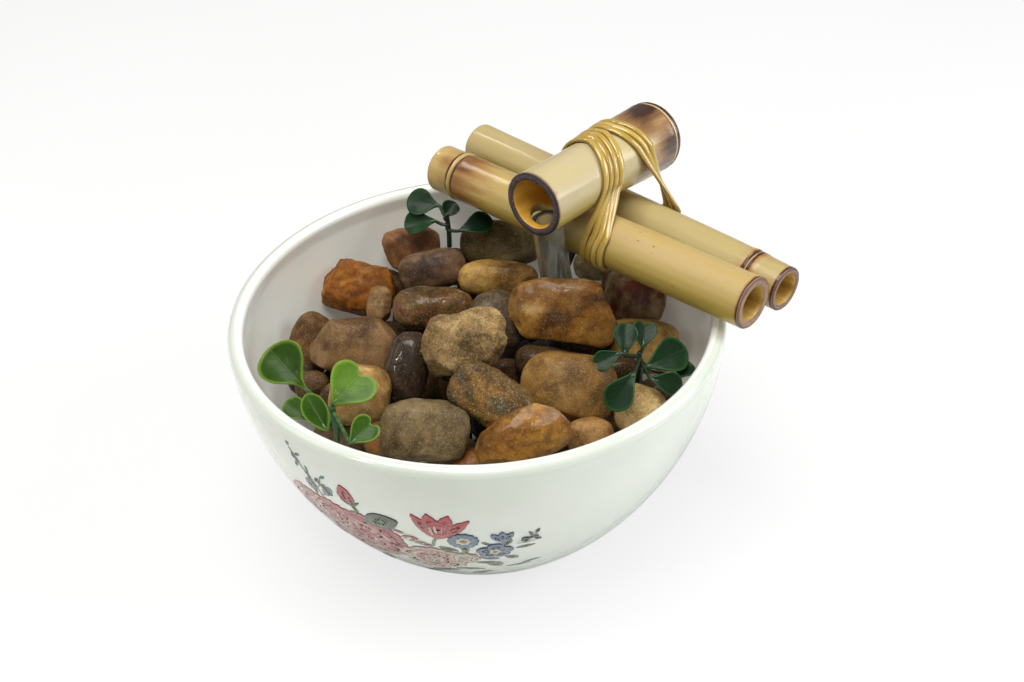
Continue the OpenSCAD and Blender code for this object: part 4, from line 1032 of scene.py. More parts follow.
FRONT = Culm((-9.6, 73.5, 93.2), (86.5, -25.8, 95.8), radius=8.8, bore=5.9)
REAR = Culm((4.7, 90.3, 93.0), (99.6, -14.2, 92.0), radius=8.2, bore=5.6)
SPOUT = Culm((19.8, 7.9, 115.4), (66, 56, 112.2), radius=10.8, bore=8.5)

# Swell: distance along the pipe, height over its radius. Burn: distance, darkness.
# Blots: distance, angle, reach along, reach round, darkness.
FRONT_END = FRONT.length
FRONT_SWELL = [
    [0, -0.45], [0.5, -0.05], [2, -0.1], [6, -0.05], [9, 0], [10.2, 0.3], [10.7, 0.32], [11.2, 0],
    [11.6, -0.42], [12.1, -0.42], [12.5, -0.05], [13, 0.12], [14.5, 0.05], [24, -0.1],
    [60, -0.02], [FRONT_END - 0.5, 0], [FRONT_END, -0.35]]
FRONT_BURN = [
    [0, 0.3], [0.8, 0.14], [3, 0.12], [6, 0.22], [8.8, 0.3], [9.4, 0.5], [9.7, 1.2], [10.2, 1.2],
    [10.45, 0.1], [11.3, 0.05], [11.55, 0.5], [11.8, 1.25], [12.4, 1.25], [12.9, 0.55],
    [14.5, 0.54], [19, 0.46], [28, 0.3], [36, 0.14], [46, 0.02], [FRONT_END - 6, 0],
    [FRONT_END - 2.2, 0.08], [FRONT_END - 1.3, 0.45], [FRONT_END - 0.8, 1.0], [FRONT_END, 1.15]]
FRONT_BLOTS = [(6, 300, 4, 40, 0.25), (17, 280, 6, 50, 0.22)]
REAR_END = REAR.length
REAR_SWELL = [
    [0, -0.4], [0.5, 0], [REAR_END * 0.5, -0.03], [REAR_END - 26, 0], [REAR_END - 17, -0.15],
    [REAR_END - 14.8, 0.18], [REAR_END - 14.2, 0.15], [REAR_END - 13.7, -0.35],
    [REAR_END - 13.2, -0.5], [REAR_END - 12.8, -0.2], [REAR_END - 12.4, 0],
    [REAR_END - 12.1, -0.3], [REAR_END - 11.7, -0.42], [REAR_END - 11.2, -0.05],
    [REAR_END - 9, -0.35], [REAR_END - 4, -0.5], [REAR_END - 0.5, -0.6], [REAR_END, -0.95]]
REAR_BURN = [
    [0, 0.06], [2, 0.0], [REAR_END - 26, 0], [REAR_END - 20, 0.1], [REAR_END - 16, 0.2],
    [REAR_END - 14.5, 0.3], [REAR_END - 13.9, 0.75], [REAR_END - 13.5, 1.15],
    [REAR_END - 13.1, 1.1], [REAR_END - 12.85, 0.3], [REAR_END - 12.4, 0.2],
    [REAR_END - 12.15, 1.1], [REAR_END - 11.6, 1.15], [REAR_END - 11.2, 0.6],
    [REAR_END - 9.5, 0.3], [REAR_END - 5, 0.2], [REAR_END - 1.6, 0.25], [REAR_END - 1.1, 0.9],
    [REAR_END, 1.1]]
TIP = SPOUT.length
SPOUT_SWELL = [
    [0, -0.2], [0.4, 0.15], [8, 0.05], [22, 0], [34, 0.35], [44, 1.0], [52, 1.5], [TIP - 6, 1.75],
    [TIP - 4, 1.9], [TIP - 3.1, 1.4], [TIP - 2.7, 1.4], [TIP - 1.6, 1.7], [TIP, 1.3]]
SPOUT_BURN = [
    [0, 1.0], [0.45, 0.85], [0.9, 0.4], [2.5, 0.1], [5, 0.0], [TIP - 34, 0.0], [TIP - 26, 0.12],
    [TIP - 18, 0.3], [TIP - 12, 0.42], [TIP - 8, 0.5], [TIP - 4.6, 0.56], [TIP - 3.9, 0.62],
    [TIP - 3.5, 1.1], [TIP - 3.1, 1.0], [TIP - 2.85, 0.1], [TIP - 2.4, 0.05], [TIP - 2.15, 0.9],
    [TIP - 1.6, 1.15], [TIP, 1.0]]
SPOUT_BLOTS = [
    (TIP - 6.5, 262, 3.0, 15, 0.95), (TIP - 13, 268, 9, 24, 0.4), (TIP - 15, 300, 6, 16, 0.3),
    (TIP - 10, 190, 7, 40, 0.2), (TIP - 7, 350, 6, 26, 0.35), (TIP - 9, 30, 6, 24, 0.25),
    (TIP - 20, 320, 6, 9, 0.2)]


def skin_mat(name, pale, mid, deep, seed, speck, lit_top_colour, glow="9A5F28", lit_top_amount=0.75,
             lit_top_over=(-0.35, 0.75)):
    """Outer skin of a culm; the upper faces are painted paler as painted top light, and the last
    argument is how far up a face points where that painted light comes in.
    """
    mat = Mat("bamboo_" + name)
    pale, mid, deep, lit_top_colour = (tone(c, light=0.8, blue=0.95) for c in (pale, mid, deep, lit_top_colour))
    local = mat.attr("lc")
    burn = mat.attr("burn", "Fac")

    def grain(across, along, shift=(0, 0), texture=mat.noise, **settings):
        return texture(co=local, stretch=(across, across, along), shift=(seed, *shift), **settings)

    streaks = grain(420, 9, detail=5, rough=0.6)
    wide = grain(75, 16, shift=(3, 0), detail=4, rough=0.55)
    hair = grain(2200, 34, shift=(9, 0), detail=3, rough=0.6)
    base = mat.ramp(wide, {0.32: deep, 0.5: mid, 0.68: pale})
    base = mat.blend(base, deep, mat.fade(streaks, over=(0.46, 0.72)), amount=0.6)
    base = mat.blend(base, "A98C4E", mat.fade(hair, over=(0.56, 0.75)), amount=0.28)
    # green-olive tinge in patches
    tinge = mat.fade(grain(60, 22, shift=(6, 2), detail=3), over=(0.48, 0.7))
    base = mat.blend(base, "A89C48", tinge, amount=0.35)
    # waxy bloom on the upper side
    # painted light: faces that point up are painted paler, and the underside keeps the deeper colours
    # as painted shade
    upward = mat.fade(mat.surface_normal()[2], over=lit_top_over)
    lit_top_tint = mat.blend(lit_top_colour, mid, mat.fade(wide, over=(0.35, 0.65), to=(0.1, 0.5)))
    base = mat.blend(base, lit_top_tint, upward, amount=lit_top_amount)
    fleck = mat.fade(grain(520, 170, shift=(0, 4), texture=mat.voronoi), over=(0.13, 0.06))
    fleck = mat.mul(fleck, mat.fade(grain(90, 60, shift=(1, 7), detail=2), over=(0.5, 0.62)))
    base = mat.blend(base, "6E4A22", fleck, amount=speck)
    uneven = mat.sub(grain(260, 60, shift=(4, 1), detail=5, rough=0.65), 0.5)
    ragged = mat.add(burn, mat.mul(uneven, 0.75))
    base = mat.blend(base, glow, mat.fade(ragged, over=(0.16, 0.62), to=(0.0, 0.9)))
    base = mat.blend(base, "3A2114", mat.fade(ragged, over=(0.48, 0.95)))
    height = mat.add(mat.mul(streaks, 0.5), mat.mul(hair, 0.5))
    return mat.finish(color=base, rough=mat.fade(streaks, over=(0.3, 0.7), to=(0.32, 0.46)),
                      coat=0.5, coat_rough=0.14, ior=1.45, spec=0.35,
                      normal=mat.bump(height, depth=0.05, strength=0.9),
                      coat_normal=mat.bump(wide, depth=0.12, strength=0.5))


def end_mat(name, ring, fleck, rim, amount=0.4, rough=0.6):
    """Cut end: fibre bundles seen end on, darker skin."""
    mat = Mat("bamboo_" + name)
    local = mat.attr("lc")
    edge = mat.attr("edge", "Fac")
    dots = mat.fade(mat.voronoi(co=local, stretch=(1700, 1700, 1700)), over=(0.34, 0.2))
    cloud = mat.noise(co=local, stretch=(400, 400, 400), detail=4, rough=0.7)
    base = mat.blend(ring, rim, mat.fade(cloud, over=(0.4, 0.65), to=(0, 0.5)))
    base = mat.blend(base, fleck, dots, amount=amount)
    base = mat.blend(base, rim, mat.fade(mat.add(edge, mat.mul(cloud, 0.3)), over=(0.8, 1.1)))
    return mat.finish(color=base, rough=rough, coat=0.25, coat_rough=0.25,
                      normal=mat.bump(mat.add(dots, cloud), depth=0.12, strength=0.8))


def bore_mat(name, dark, middle, pale):
    mat = Mat("bamboo_" + name)
    local = mat.attr("lc")
    streaks = mat.noise(co=local, stretch=(300, 300, 30), detail=5, rough=0.65)
    base = mat.ramp(streaks, {0.3: dark, 0.5: middle, 0.7: pale})
    scars = mat.noise(co=local, stretch=(420, 420, 260), detail=5, rough=0.7)
    base = mat.blend(base, "5E3A16", mat.fade(scars, over=(0.6, 0.72)), amount=0.55)
    return mat.finish(color=base, rough=0.55, coat=0.3, coat_rough=0.3,
                      normal=mat.bump(streaks, depth=0.12, strength=0.8))


SKIN, NEAR_END, FAR_END, BORE = range(4)  # material slots of a pipe


def open_end(radius, bore, length, wall, rounding):
    """Far end of a pipe cut open, then the bore back to the near end past a cross wall."""
    rows = [(radius - rounding * 0.3, length - rounding * 0.3, FAR_END, 1.0),
            (radius - rounding, length, FAR_END, 0.9), ((bore + radius) / 2, length, FAR_END, 0.5),
            (bore + 0.35, length, FAR_END, 0.2), (bore, length - 0.25, BORE, 0.0)]
    rows += [(bore, t, BORE, 0) for t in np.linspace(length - 2, wall + 4, 12)]
    sides = [(bore - 0.4, 2.6), (bore - 1.6, 2.1), (bore * 0.4, 1.9), (0.01, 1.9), (0.01, 0),
             (bore * 0.4, 0), (bore - 1.6, -0.2), (bore - 0.4, -0.8)]
    rows += [(r, wall + step, BORE, 0) for r, step in sides]
    return rows + [(bore, t, BORE, 0) for t in np.linspace(wall - 1.8, 1.0, int(wall / 3))]


def closed_end(radius, bore, length, thickness):
    """Far end closed by a node of a thickness, then the bore back to the near end."""
    rows = [(radius - 0.3, length - 0.25, FAR_END, 1.0), (radius - 1.1, length - 0.02, FAR_END, 0.9),
            (radius * 0.78, length - 0.25, FAR_END, 0.6), (radius * 0.6, length - 0.1, FAR_END, 0.35),
            (radius * 0.35, length - 0.5, FAR_END, 0.2), (0.01, length - 0.7, FAR_END, 0.1)]
    floor = length - thickness
    rows += [(0.01, floor, BORE, 0), (bore * 0.45, floor, BORE, 0), (bore - 1.2, floor - 0.3, BORE, 0),
             (bore - 0.2, floor - 1.6, BORE, 0)]
    return rows + [(bore, t, BORE, 0) for t in np.linspace(floor - 3.5, 1.0, 34)]


def build_pipe(node, culm, swell, rounding, materials, burn, seed, wall=None, thickness=None,
               segments=112, ripple=0.07, blots=()):
    """A culm with a cross wall at a distance, or with its far end closed."""
    length, bore = culm.length, culm.bore
    stations, heights = zip(*swell)

    def radius_at(t):
        return culm.radius + float(np.interp(t, stations, heights))

    near, far = radius_at(0.5), radius_at(length - 0.4)
    # rows of radius, distance, material slot and closeness to the cut edge
    rows = [(bore, 0.25, NEAR_END, 0.0), (bore + 0.35, 0.0, NEAR_END, 0.2),
            ((bore + near) / 2, 0.0, NEAR_END, 0.5), (near - rounding, 0.0, NEAR_END, 0.9),
            (near - rounding * 0.3, rounding * 0.3, NEAR_END, 1.0)]
    marks = [row[0] for row in swell + burn if 0.3 < row[0] < length - 0.3]
    even = [float(t) for t in np.arange(0.6, length - 0.6, 1.0)]
    for t in sorted({round(t, 3) for t in even + marks}):
        rows.append((radius_at(t), t, SKIN, 0.0))
    if thickness is None:
        rows += open_end(far, bore, length, wall, rounding)
    else:
        rows += closed_end(far, bore, length, thickness)
    radius = np.repeat([row[0] for row in rows], segments)
    distance = np.repeat([row[1] for row in rows], segments)
    angle = np.tile(turn_angles(segments), len(rows))
    cos, sin = np.cos(angle), np.sin(angle)
    wobble = fbm(np.stack([cos * 1.2, sin * 1.2, distance / 22.0], -1) + seed * 5.3, seed, 3)
    ribs = fbm(np.stack([cos * 9, sin * 9, distance / 40.0], -1) + seed * 2.3, seed + 3, 2)
    relief = wobble * ripple * 2.2 + ribs * ripple * 0.5 - ripple * 0.8
    uneven = radius + np.clip(radius / 4, 0, 1) * relief
    axes = np.array([culm.side, culm.down, culm.along])
    verts = culm.near + cylinder(uneven, angle, distance) @ axes
    # the rows run out over the near end, along the skin, in at the far end and back down the bore
    faces = grid_faces(len(rows), segments, wrap_rows=True, flip=True)
    index = []
    for i, row in enumerate(rows):
        index += [row[2] or rows[(i + 1) % len(rows)][2]] * segments
    dark = np.interp(distance, *zip(*burn))
    for at, at_angle, reach, reach_round, amount in blots:
        turn = (np.degrees(angle) - at_angle + 180) % 360 - 180
        dark = dark + amount * np.exp(-(((distance - at) / reach) ** 2) - (turn / reach_round) ** 2)
    attrs = {"lc": cylinder(radius, angle, distance) * MM, "burn": dark,
             "edge": np.repeat([row[3] for row in rows], segments)}
    return make(node + "_cane", materials, verts, faces, body=BAMBOO, replaces=node,
                slot="bamboo", index=index, attrs=attrs, outward=True)


def drill(ob, culm, centre, radius, bottom, top):
    """Cuts an upright hole in a pipe, then sets its local coordinates again."""
    sides = 48
    angle = turn_angles(sides)
    verts = np.vstack([cylinder(radius, angle, z) + vec(*centre, 0) for z in (bottom, top)]) * MM
    faces = [list(range(sides))[::-1], list(range(sides, 2 * sides))] + grid_faces(2, sides)
    mesh = bpy.data.meshes.new("cutter")
    mesh.from_pydata(verts.tolist(), [], faces)
    cutter = bpy.data.objects.new("cutter", mesh)
    bpy.context.scene.collection.objects.link(cutter)
    modifier = ob.modifiers.new("hole", "BOOLEAN")
    modifier.operation, modifier.object, modifier.solver = "DIFFERENCE", cutter, "EXACT"
    depsgraph = bpy.context.evaluated_depsgraph_get()
    cut = bpy.data.meshes.new_from_object(ob.evaluated_get(depsgraph))
    ob.modifiers.remove(modifier)
    whole = ob.data
    ob.data = cut
    bpy.data.objects.remove(cutter)
    bpy.data.meshes.remove(whole)
    points = np.zeros(len(cut.vertices) * 3)
    cut.vertices.foreach_get("co", points)
    points = points.reshape(-1, 3) - culm.near * MM
    local = points @ np.array([culm.side, culm.down, culm.along]).T
    # guards against a cut that doesn't carry the attribute over
    if "lc" in cut.attributes:
        cut.attributes["lc"].data.foreach_set("vector", local.astype(np.float32).ravel())
    cut.polygons.foreach_set("use_smooth", [True] * len(cut.polygons))
    cut.update()


def build_bamboo():
    mouth = end_mat("mouth_end", "3E2C30", "8C7C80", "20151A", amount=0.6, rough=0.5)
    front_end = end_mat("front_end", "8E6A4A", "B0906A", "5E3E2C")
    tan_end = end_mat("tan_end", "C9AD72", "8A6636", "6E4A26")
    dark_end = end_mat("dark_end", "7E5A44", "A88A66", "452A20")
    bore = bore_mat("bore", "BE8A26", "DCA83C", "EABF5C")
    dark_bore = bore_mat("bore_dark", "A07A30", "C09A48", "D4B468")
    # the paler swatch given to each skin below is painted top light on its upper faces
    front = skin_mat("front", "CFB25C", "BFA245", "9C822E", glow="92622E", seed=1,
                     lit_top_colour="D6B98A", speck=0.9)
    rear = skin_mat("rear", "C9B576", "B8A25A", "97813E", seed=5, lit_top_colour="CEB98E", speck=0.8)
    spout = skin_mat("spout", "D6C07A", "CCAE56", "B8943C", glow="8E6238", seed=9, speck=0.9,
                     lit_top_colour="D2C6A4", lit_top_amount=0.85, lit_top_over=(-0.6, 0.05))
    build_pipe("cross_pipe_front", FRONT, FRONT_SWELL, rounding=0.55, wall=10, burn=FRONT_BURN,
               materials=[front, tan_end, front_end, dark_bore], seed=1, blots=FRONT_BLOTS)
    build_pipe("cross_pipe_rear", REAR, REAR_SWELL, rounding=0.45, wall=REAR_END - 14,
               burn=REAR_BURN, materials=[rear, tan_end, dark_end, dark_bore], seed=2)
    pipe = build_pipe("spout_pipe", SPOUT, SPOUT_SWELL, rounding=0.5, thickness=7,
                      burn=SPOUT_BURN, materials=[spout, mouth, dark_end, bore], seed=3,
                      segments=128, ripple=0.1, blots=SPOUT_BLOTS)
    # entry hole for the riser tube, through the underside
    drill(pipe, SPOUT, centre=(24.9, 14.2), radius=5.5, bottom=98, top=112)


build_bamboo()

# ---------------------------------------------------------------- lashing
STRAND_PITCH = 2.6
STRAND_GAP = 0.14  # between a strand and the bamboo
# strand section, as shares of half width and of thickness
STRAND_SECTION = [
    (-0.98, 0.2), (-0.99, 0.45), (-0.86, 0.7), (-0.6, 0.9), (-0.22, 1.0), (0.22, 1.0), (0.6, 0.9),
    (0.86, 0.7), (0.99, 0.45), (0.98, 0.2), (0.6, 0.02), (0, -0.02), (-0.6, 0.02)]


def half_winding(culm, start, distance, angles, drift, offset, swell, hand, vertical):
    """(middle, outward, width direction) of a strand over (vertical 1) or under (-1) a culm."""
    side = hand * vec(culm.plan[1], -culm.plan[0])
    winding = []
    for angle in np.linspace(*angles, 17):
        shift = float(np.interp(angle, *zip(*drift))) + hand * offset
        swelling = float(np.interp(distance + shift, *zip(*swell)))
        radius = culm.radius + swelling + STRAND_GAP
        out = vec(*(side * math.sin(math.radians(angle))), vertical * math.cos(math.radians(angle)))
        middle = vec(*(start + culm.plan * shift), culm.height(distance + shift)) + out * radius
        winding.append((middle, out, vec(*(culm.plan * hand), 0)))
    return winding


def strand_path(cross, hand, over, over_drift, under, under_drift, offset):
    """One strand round the spout and a cross pipe; drift is how far it has moved along a
    pipe by angle."""
    distance = SPOUT.crossing(cross)
    start = SPOUT.near[:2] + SPOUT.plan * distance
    top = half_winding(SPOUT, start, distance, over, over_drift, offset, SPOUT_SWELL, 1, 1)
    low = half_winding(cross, start, cross.crossing(SPOUT), under, under_drift, offset,
                       [[0, 0]], hand, -1)

    def bridge(first, last):
        return [(first[0] + (last[0] - first[0]) * t, unit(first[1] * (1 - t) + last[1] * t),
                 unit(first[2] * (1 - t) + last[2] * t)) for t in (0.25, 0.5, 0.75)]

    winding = top + bridge(top[-1], low[0]) + low + bridge(low[-1], top[0])
    return [np.array(column) for column in zip(*winding)]


def strand_part(line, outward, across, width, thickness, seed):
    path, out, wide = (smooth_path(points, 5, closed=True) for points in (line, outward, across))
    count = len(path)
    along = unit(np.roll(path, -1, 0) - np.roll(path, 1, 0))
    out = unit(out - along * (out * along).sum(1, keepdims=True))
    cross = np.cross(out, along)
    wide = unit(cross * np.sign((cross * wide).sum(1, keepdims=True)))
    turn = turn_angles(count)
    drift = 0.14 * np.sin(2 * turn + seed) + 0.1 * np.sin(5 * turn + 2 * seed)
    half = width / 2 * (1 + 0.05 * np.sin(3 * turn + seed * 2.2))
    thick = thickness * (1 + 0.10 * np.sin(4 * turn + seed * 1.3))
    twist = 0.10 * np.sin(3 * turn + seed * 1.9)
    length = lengths_along(path) + seed * 50
    verts, local = [], []
    for a, b in STRAND_SECTION:
        height = (b + twist * a * b) * thick
        verts.append(path + wide * (drift + a * half)[:, None] + out * height[:, None])
        local.append(np.stack([np.full(count, a * width / 2), np.full(count, b * thickness),
                               length], -1))
    verts = np.stack(verts, 1).reshape(-1, 3)
    local = np.stack(local, 1).reshape(-1, 3) * MM
    faces = grid_faces(count, len(STRAND_SECTION), wrap_rows=True)
    return verts, faces, {"lc": local}, None


def strand_mat():
    mat = Mat("cane_strand")
    local = mat.attr("lc")
    fibres = mat.noise(co=local, stretch=(2600, 1200, 30), detail=4, rough=0.6)
    clouds = mat.noise(co=local, stretch=(400, 300, 40), detail=3)
    base = mat.ramp(clouds, {0.3: "9E7E26", 0.5: "B4943A", 0.72: "CBAE62"})
    base = mat.blend(base, "8C7022", mat.fade(fibres, over=(0.5, 0.72)), amount=0.3)
    # the strand's edges are painted darker: painted shade where the strands lie against each other
    side = mat.fade(mat.math("ABSOLUTE", mat.xyz(local)[0]), over=(0.0010, 0.00127))
    base = mat.blend(base, "6E5216", side, amount=0.75)
    return mat.finish(color=base, rough=0.3, coat=1.0, coat_rough=0.07,
                      normal=mat.bump(fibres, depth=0.04, strength=0.8),
                      coat_normal=mat.bump(clouds, depth=0.1, strength=0.4))


def build_lashing(node, material, count, width, thickness, seed, **winding):
    parts = []
    for i in range(count):
        path = strand_path(offset=(i - (count - 1) / 2) * STRAND_PITCH, **winding)
        parts.append(strand_part(*path, width, thickness, i + seed))
    make(node + "_cane", [material], body=BAMBOO, replaces=node, slot="cane_strand",
         outward=True, **joined(parts))


strand_material = strand_mat()
build_lashing("lashing_front", strand_material, count=4, width=2.56, thickness=1.35, seed=1,
              cross=FRONT, hand=1, over=(-100, 100), over_drift=[[-100, 9], [0, 9], [100, 2]],
              under=(130, -110), under_drift=[[-110, -14], [0, 11], [130, 14]])
build_lashing("lashing_rear", strand_material, count=3, width=2.5, thickness=1.3, seed=7,
              cross=REAR, hand=-1, over=(-100, 62), over_drift=[[-100, -0.5], [0, -1.4], [60, 2]],
              under=(128, -125), under_drift=[[-125, -8], [0, 4], [128, 20]])

# ---------------------------------------------------------------- riser tube
TUBE_X = 36.2  # on the pump's x axis
TUBE_BOTTOM, TUBE_BEND_Z = 46.4, 63.0
TUBE_LEAN_AZIMUTH, TUBE_LEAN = math.radians(224.2), math.radians(10)
TUBE_BEND_RADIUS, TUBE_STRAIGHT = 60.0, 32.3
TUBE_RADII = (5.4, 4.0)
TUBE_SIDES = 56


def tube_mat():
    mat = Mat("clear_vinyl")
    haze = mat.noise(stretch=(260, 260, 60), detail=4, rough=0.6)
    drops = mat.fade(mat.voronoi(scale=420), over=(0.3, 0.1))
    height = mat.add(haze, mat.mul(drops, 0.4))
    return mat.finish(color=mat.ramp(haze, {0.35: "D6DAD4", 0.65: "EDF0EC"}), trans=0.94, ior=1.4,
                      rough=mat.fade(haze, over=(0.35, 0.7), to=(0.04, 0.16)), coat=0.4,
                      coat_rough=0.05, normal=mat.bump(height, depth=0.12, strength=0.6))


def build_tube():
    """Upright from the pump, then leaning over into the spout."""
    lean_way = cylinder(1, TUBE_LEAN_AZIMUTH, 0)
    path = [pump_point(TUBE_X, 0, z) for z in np.linspace(TUBE_BOTTOM, TUBE_BEND_Z, 12)]
    bend = path[-1]
    for angle in np.linspace(0, TUBE_LEAN, 9)[1:]:
        rise = vec(0, 0, math.sin(angle))
        path.append(bend + TUBE_BEND_RADIUS * (lean_way * (1 - math.cos(angle)) + rise))
    end = path[-1]
    direction = lean_way * math.sin(TUBE_LEAN) + vec(0, 0, math.cos(TUBE_LEAN))
    path += [end + direction * t for t in np.linspace(0, TUBE_STRAIGHT, 18)[1:]]
    path = np.array(path)
    side = unit(np.cross(vec(0, 0, 1), lean_way))
    other = np.cross(tangents(path), side)
    angle = turn_angles(TUBE_SIDES)
    ring = (side * np.cos(angle)[None, :, None] + other[:, None] * np.sin(angle)[None, :, None])
    verts = np.vstack([(path[:, None] + radius * ring).reshape(-1, 3) for radius in TUBE_RADII])
    rows, sides = len(path), TUBE_SIDES
    inner, top = rows * sides, (rows - 1) * sides
    faces = grid_faces(rows, sides) + grid_faces(rows, sides, base=inner, flip=True)
    for k in range(sides):
        k2 = (k + 1) % sides
        faces.append([k2, k, inner + k, inner + k2])
        faces.append([top + k, top + k2, inner + top + k2, inner + top + k])
    make("riser_tube_clear", [tube_mat()], verts, faces, replaces="riser_tube",
         slot="clear_vinyl", outward=True)


build_tube()

# ---------------------------------------------------------------- sprigs
LEAF_GROWTH = 1.06  # against the sizes in the tables
LEAF_MIDDLE = 0.58  # share of the length where the rings of a leaf are centred
# half outlines from base to tip, as shares of length and width
LEAF_SHAPES = {
    "spoon": [(0, 0), (0.05, 0.045), (0.16, 0.09), (0.3, 0.24), (0.46, 0.42), (0.65, 0.5),
              (0.82, 0.44), (0.94, 0.27), (1, 0)],
    "obovate": [(0, 0), (0.07, 0.07), (0.24, 0.2), (0.44, 0.38), (0.64, 0.5), (0.8, 0.46),
                (0.93, 0.29), (1, 0)],
    "heart": [(0, 0), (0.07, 0.07), (0.22, 0.22), (0.42, 0.42), (0.62, 0.53), (0.81, 0.51),
              (0.95, 0.37), (0.97, 0.18), (0.86, 0)],
    "pod": [(0, 0), (0.07, 0.18), (0.28, 0.42), (0.5, 0.5), (0.72, 0.45), (0.89, 0.28), (1, 0)],
}
# leaves: centre, length, width, (tilt, turn), height of the side stem on the main one, shape,
# shade, (cup, curl, fold)
BACK_LEAVES = [
    ((-17.2, 59.5, 87), 12.5, 10, (40, -15), 82.4, "spoon", 0.6, (0.3, 0.5, 0.0)),
    ((-19, 55.5, 81), 11.5, 8.6, (35, 5), 79.6, "obovate", 0.75, (0.5, 0.35, 0.15)),
    ((-8.2, 56.8, 84.8), 7.5, 6.4, (40, 55), 81.8, "spoon", 0.15, (0.4, 0.3, 0.1)),
    ((1, 53.5, 80), 13, 8, (38, 18), 77.6, "obovate", 0.35, (0.6, 0.5, 0.1))]
LEFT_LEAVES = [
    ((-62.5, -19, 75), 17.5, 15, (42, -50), 73.8, "spoon", 0.25, (0.9, 0.25, 0.0)),
    ((-41.5, -36.5, 80), 14.5, 14, (40, 45), 75, "heart", 0.85, (0.25, 0.35, 0.0)),
    ((-51.5, -43, 76.5), 13.5, 7.2, (38, -62), 73, "pod", 0.35, (0.5, 0.7, 0.5)),
    ((-58, -39, 74), 9.5, 7, (35, -40), 72, "obovate", 0.55, (0.4, 0.4, 0.1)),
    ((-37, -54, 76.5), 10, 8, (38, 40), 74.4, "heart", 0.45, (0.4, 0.4, 0.1))]
RIGHT_LEAVES = [
    ((47, -21.5, 81), 11, 7.6, (42, 85), 76, "obovate", 0.4, (0.5, 0.4, 0.1)),
    ((53.2, -20.5, 81.8), 9, 7.2, (42, 80), 76.2, "heart", 0.3, (0.3, 0.4, 0.0)),
    ((59.5, -27, 77), 14.5, 11, (42, 22), 74.8, "obovate", 0.6, (0.4, 0.5, 0.05)),
    ((65, -28.5, 72.5), 7.5, 6.6, (30, 50), 72, "spoon", 0.35, (0.5, 0.4, 0.1)),
    ((40.5, -30, 80.5), 10, 6, (38, 20), 75.8, "obovate", 0.55, (0.4, 0.4, 0.1)),
    ((44, -40.5, 76), 14, 9, (40, 52), 75.4, "obovate", 0.45, (0.5, 0.5, 0.1)),
    ((58, -37, 75), 10.5, 7.2, (38, -18), 75, "obovate", 0.5, (0.5, 0.4, 0.1))]


def leaf_mat(name, deep, mid, light, rim):
    mat = Mat("leaf_" + name)
    across, along, shade = mat.xyz(mat.attr("luv"))
    out = mat.math("ABSOLUTE", across)
    clouds = mat.noise(scale=160, detail=4, rough=0.6)
    base = mat.ramp(mat.add(mat.mul(clouds, 0.5), mat.mul(shade, 0.5)),
                    {0.2: deep, 0.5: mid, 0.82: light})
    base = mat.blend(base, deep, mat.fade(along, over=(0.35, 0.0)), amount=0.5)
    midrib = mat.fade(mat.add(out, mat.mul(along, 0.02)), over=(0.07, 0.0))
    base = mat.blend(base, light, midrib, amount=0.25)
    # six side veins, slanting towards the tip
    slanted = mat.mul(mat.sub(along, mat.mul(out, 0.35)), 6.0)
    to_vein = mat.math("ABSOLUTE", mat.sub(mat.math("FRACT", slanted), 0.5))
    vein = mat.mul(mat.fade(to_vein, over=(0.06, 0.0)), mat.fade(out, over=(0.9, 0.3)))
    base = mat.blend(base, light, vein, amount=0.18)
    base = mat.blend(base, rim, mat.fade(mat.attr("edge", "Fac"), over=(0.8, 1.0)), amount=0.6)
    height = mat.add(mat.mul(midrib, 1.0), mat.add(mat.mul(vein, 0.4), mat.mul(clouds, 0.5)))
    return mat.finish(color=base, rough=0.36, coat=0.05, coat_rough=0.1, spec=0.16,
                      normal=mat.bump(height, depth=0.12, strength=0.8))


def stem_mat(name, dark, pale):
    mat = Mat("stem_" + name)
    grain = mat.noise(stretch=(500, 500, 120), detail=4)
    return mat.finish(color=mat.ramp(grain, {0.35: dark, 0.65: pale}), rough=0.4, coat=0.3,
                      coat_rough=0.2, normal=mat.bump(grain, depth=0.1, strength=0.8))


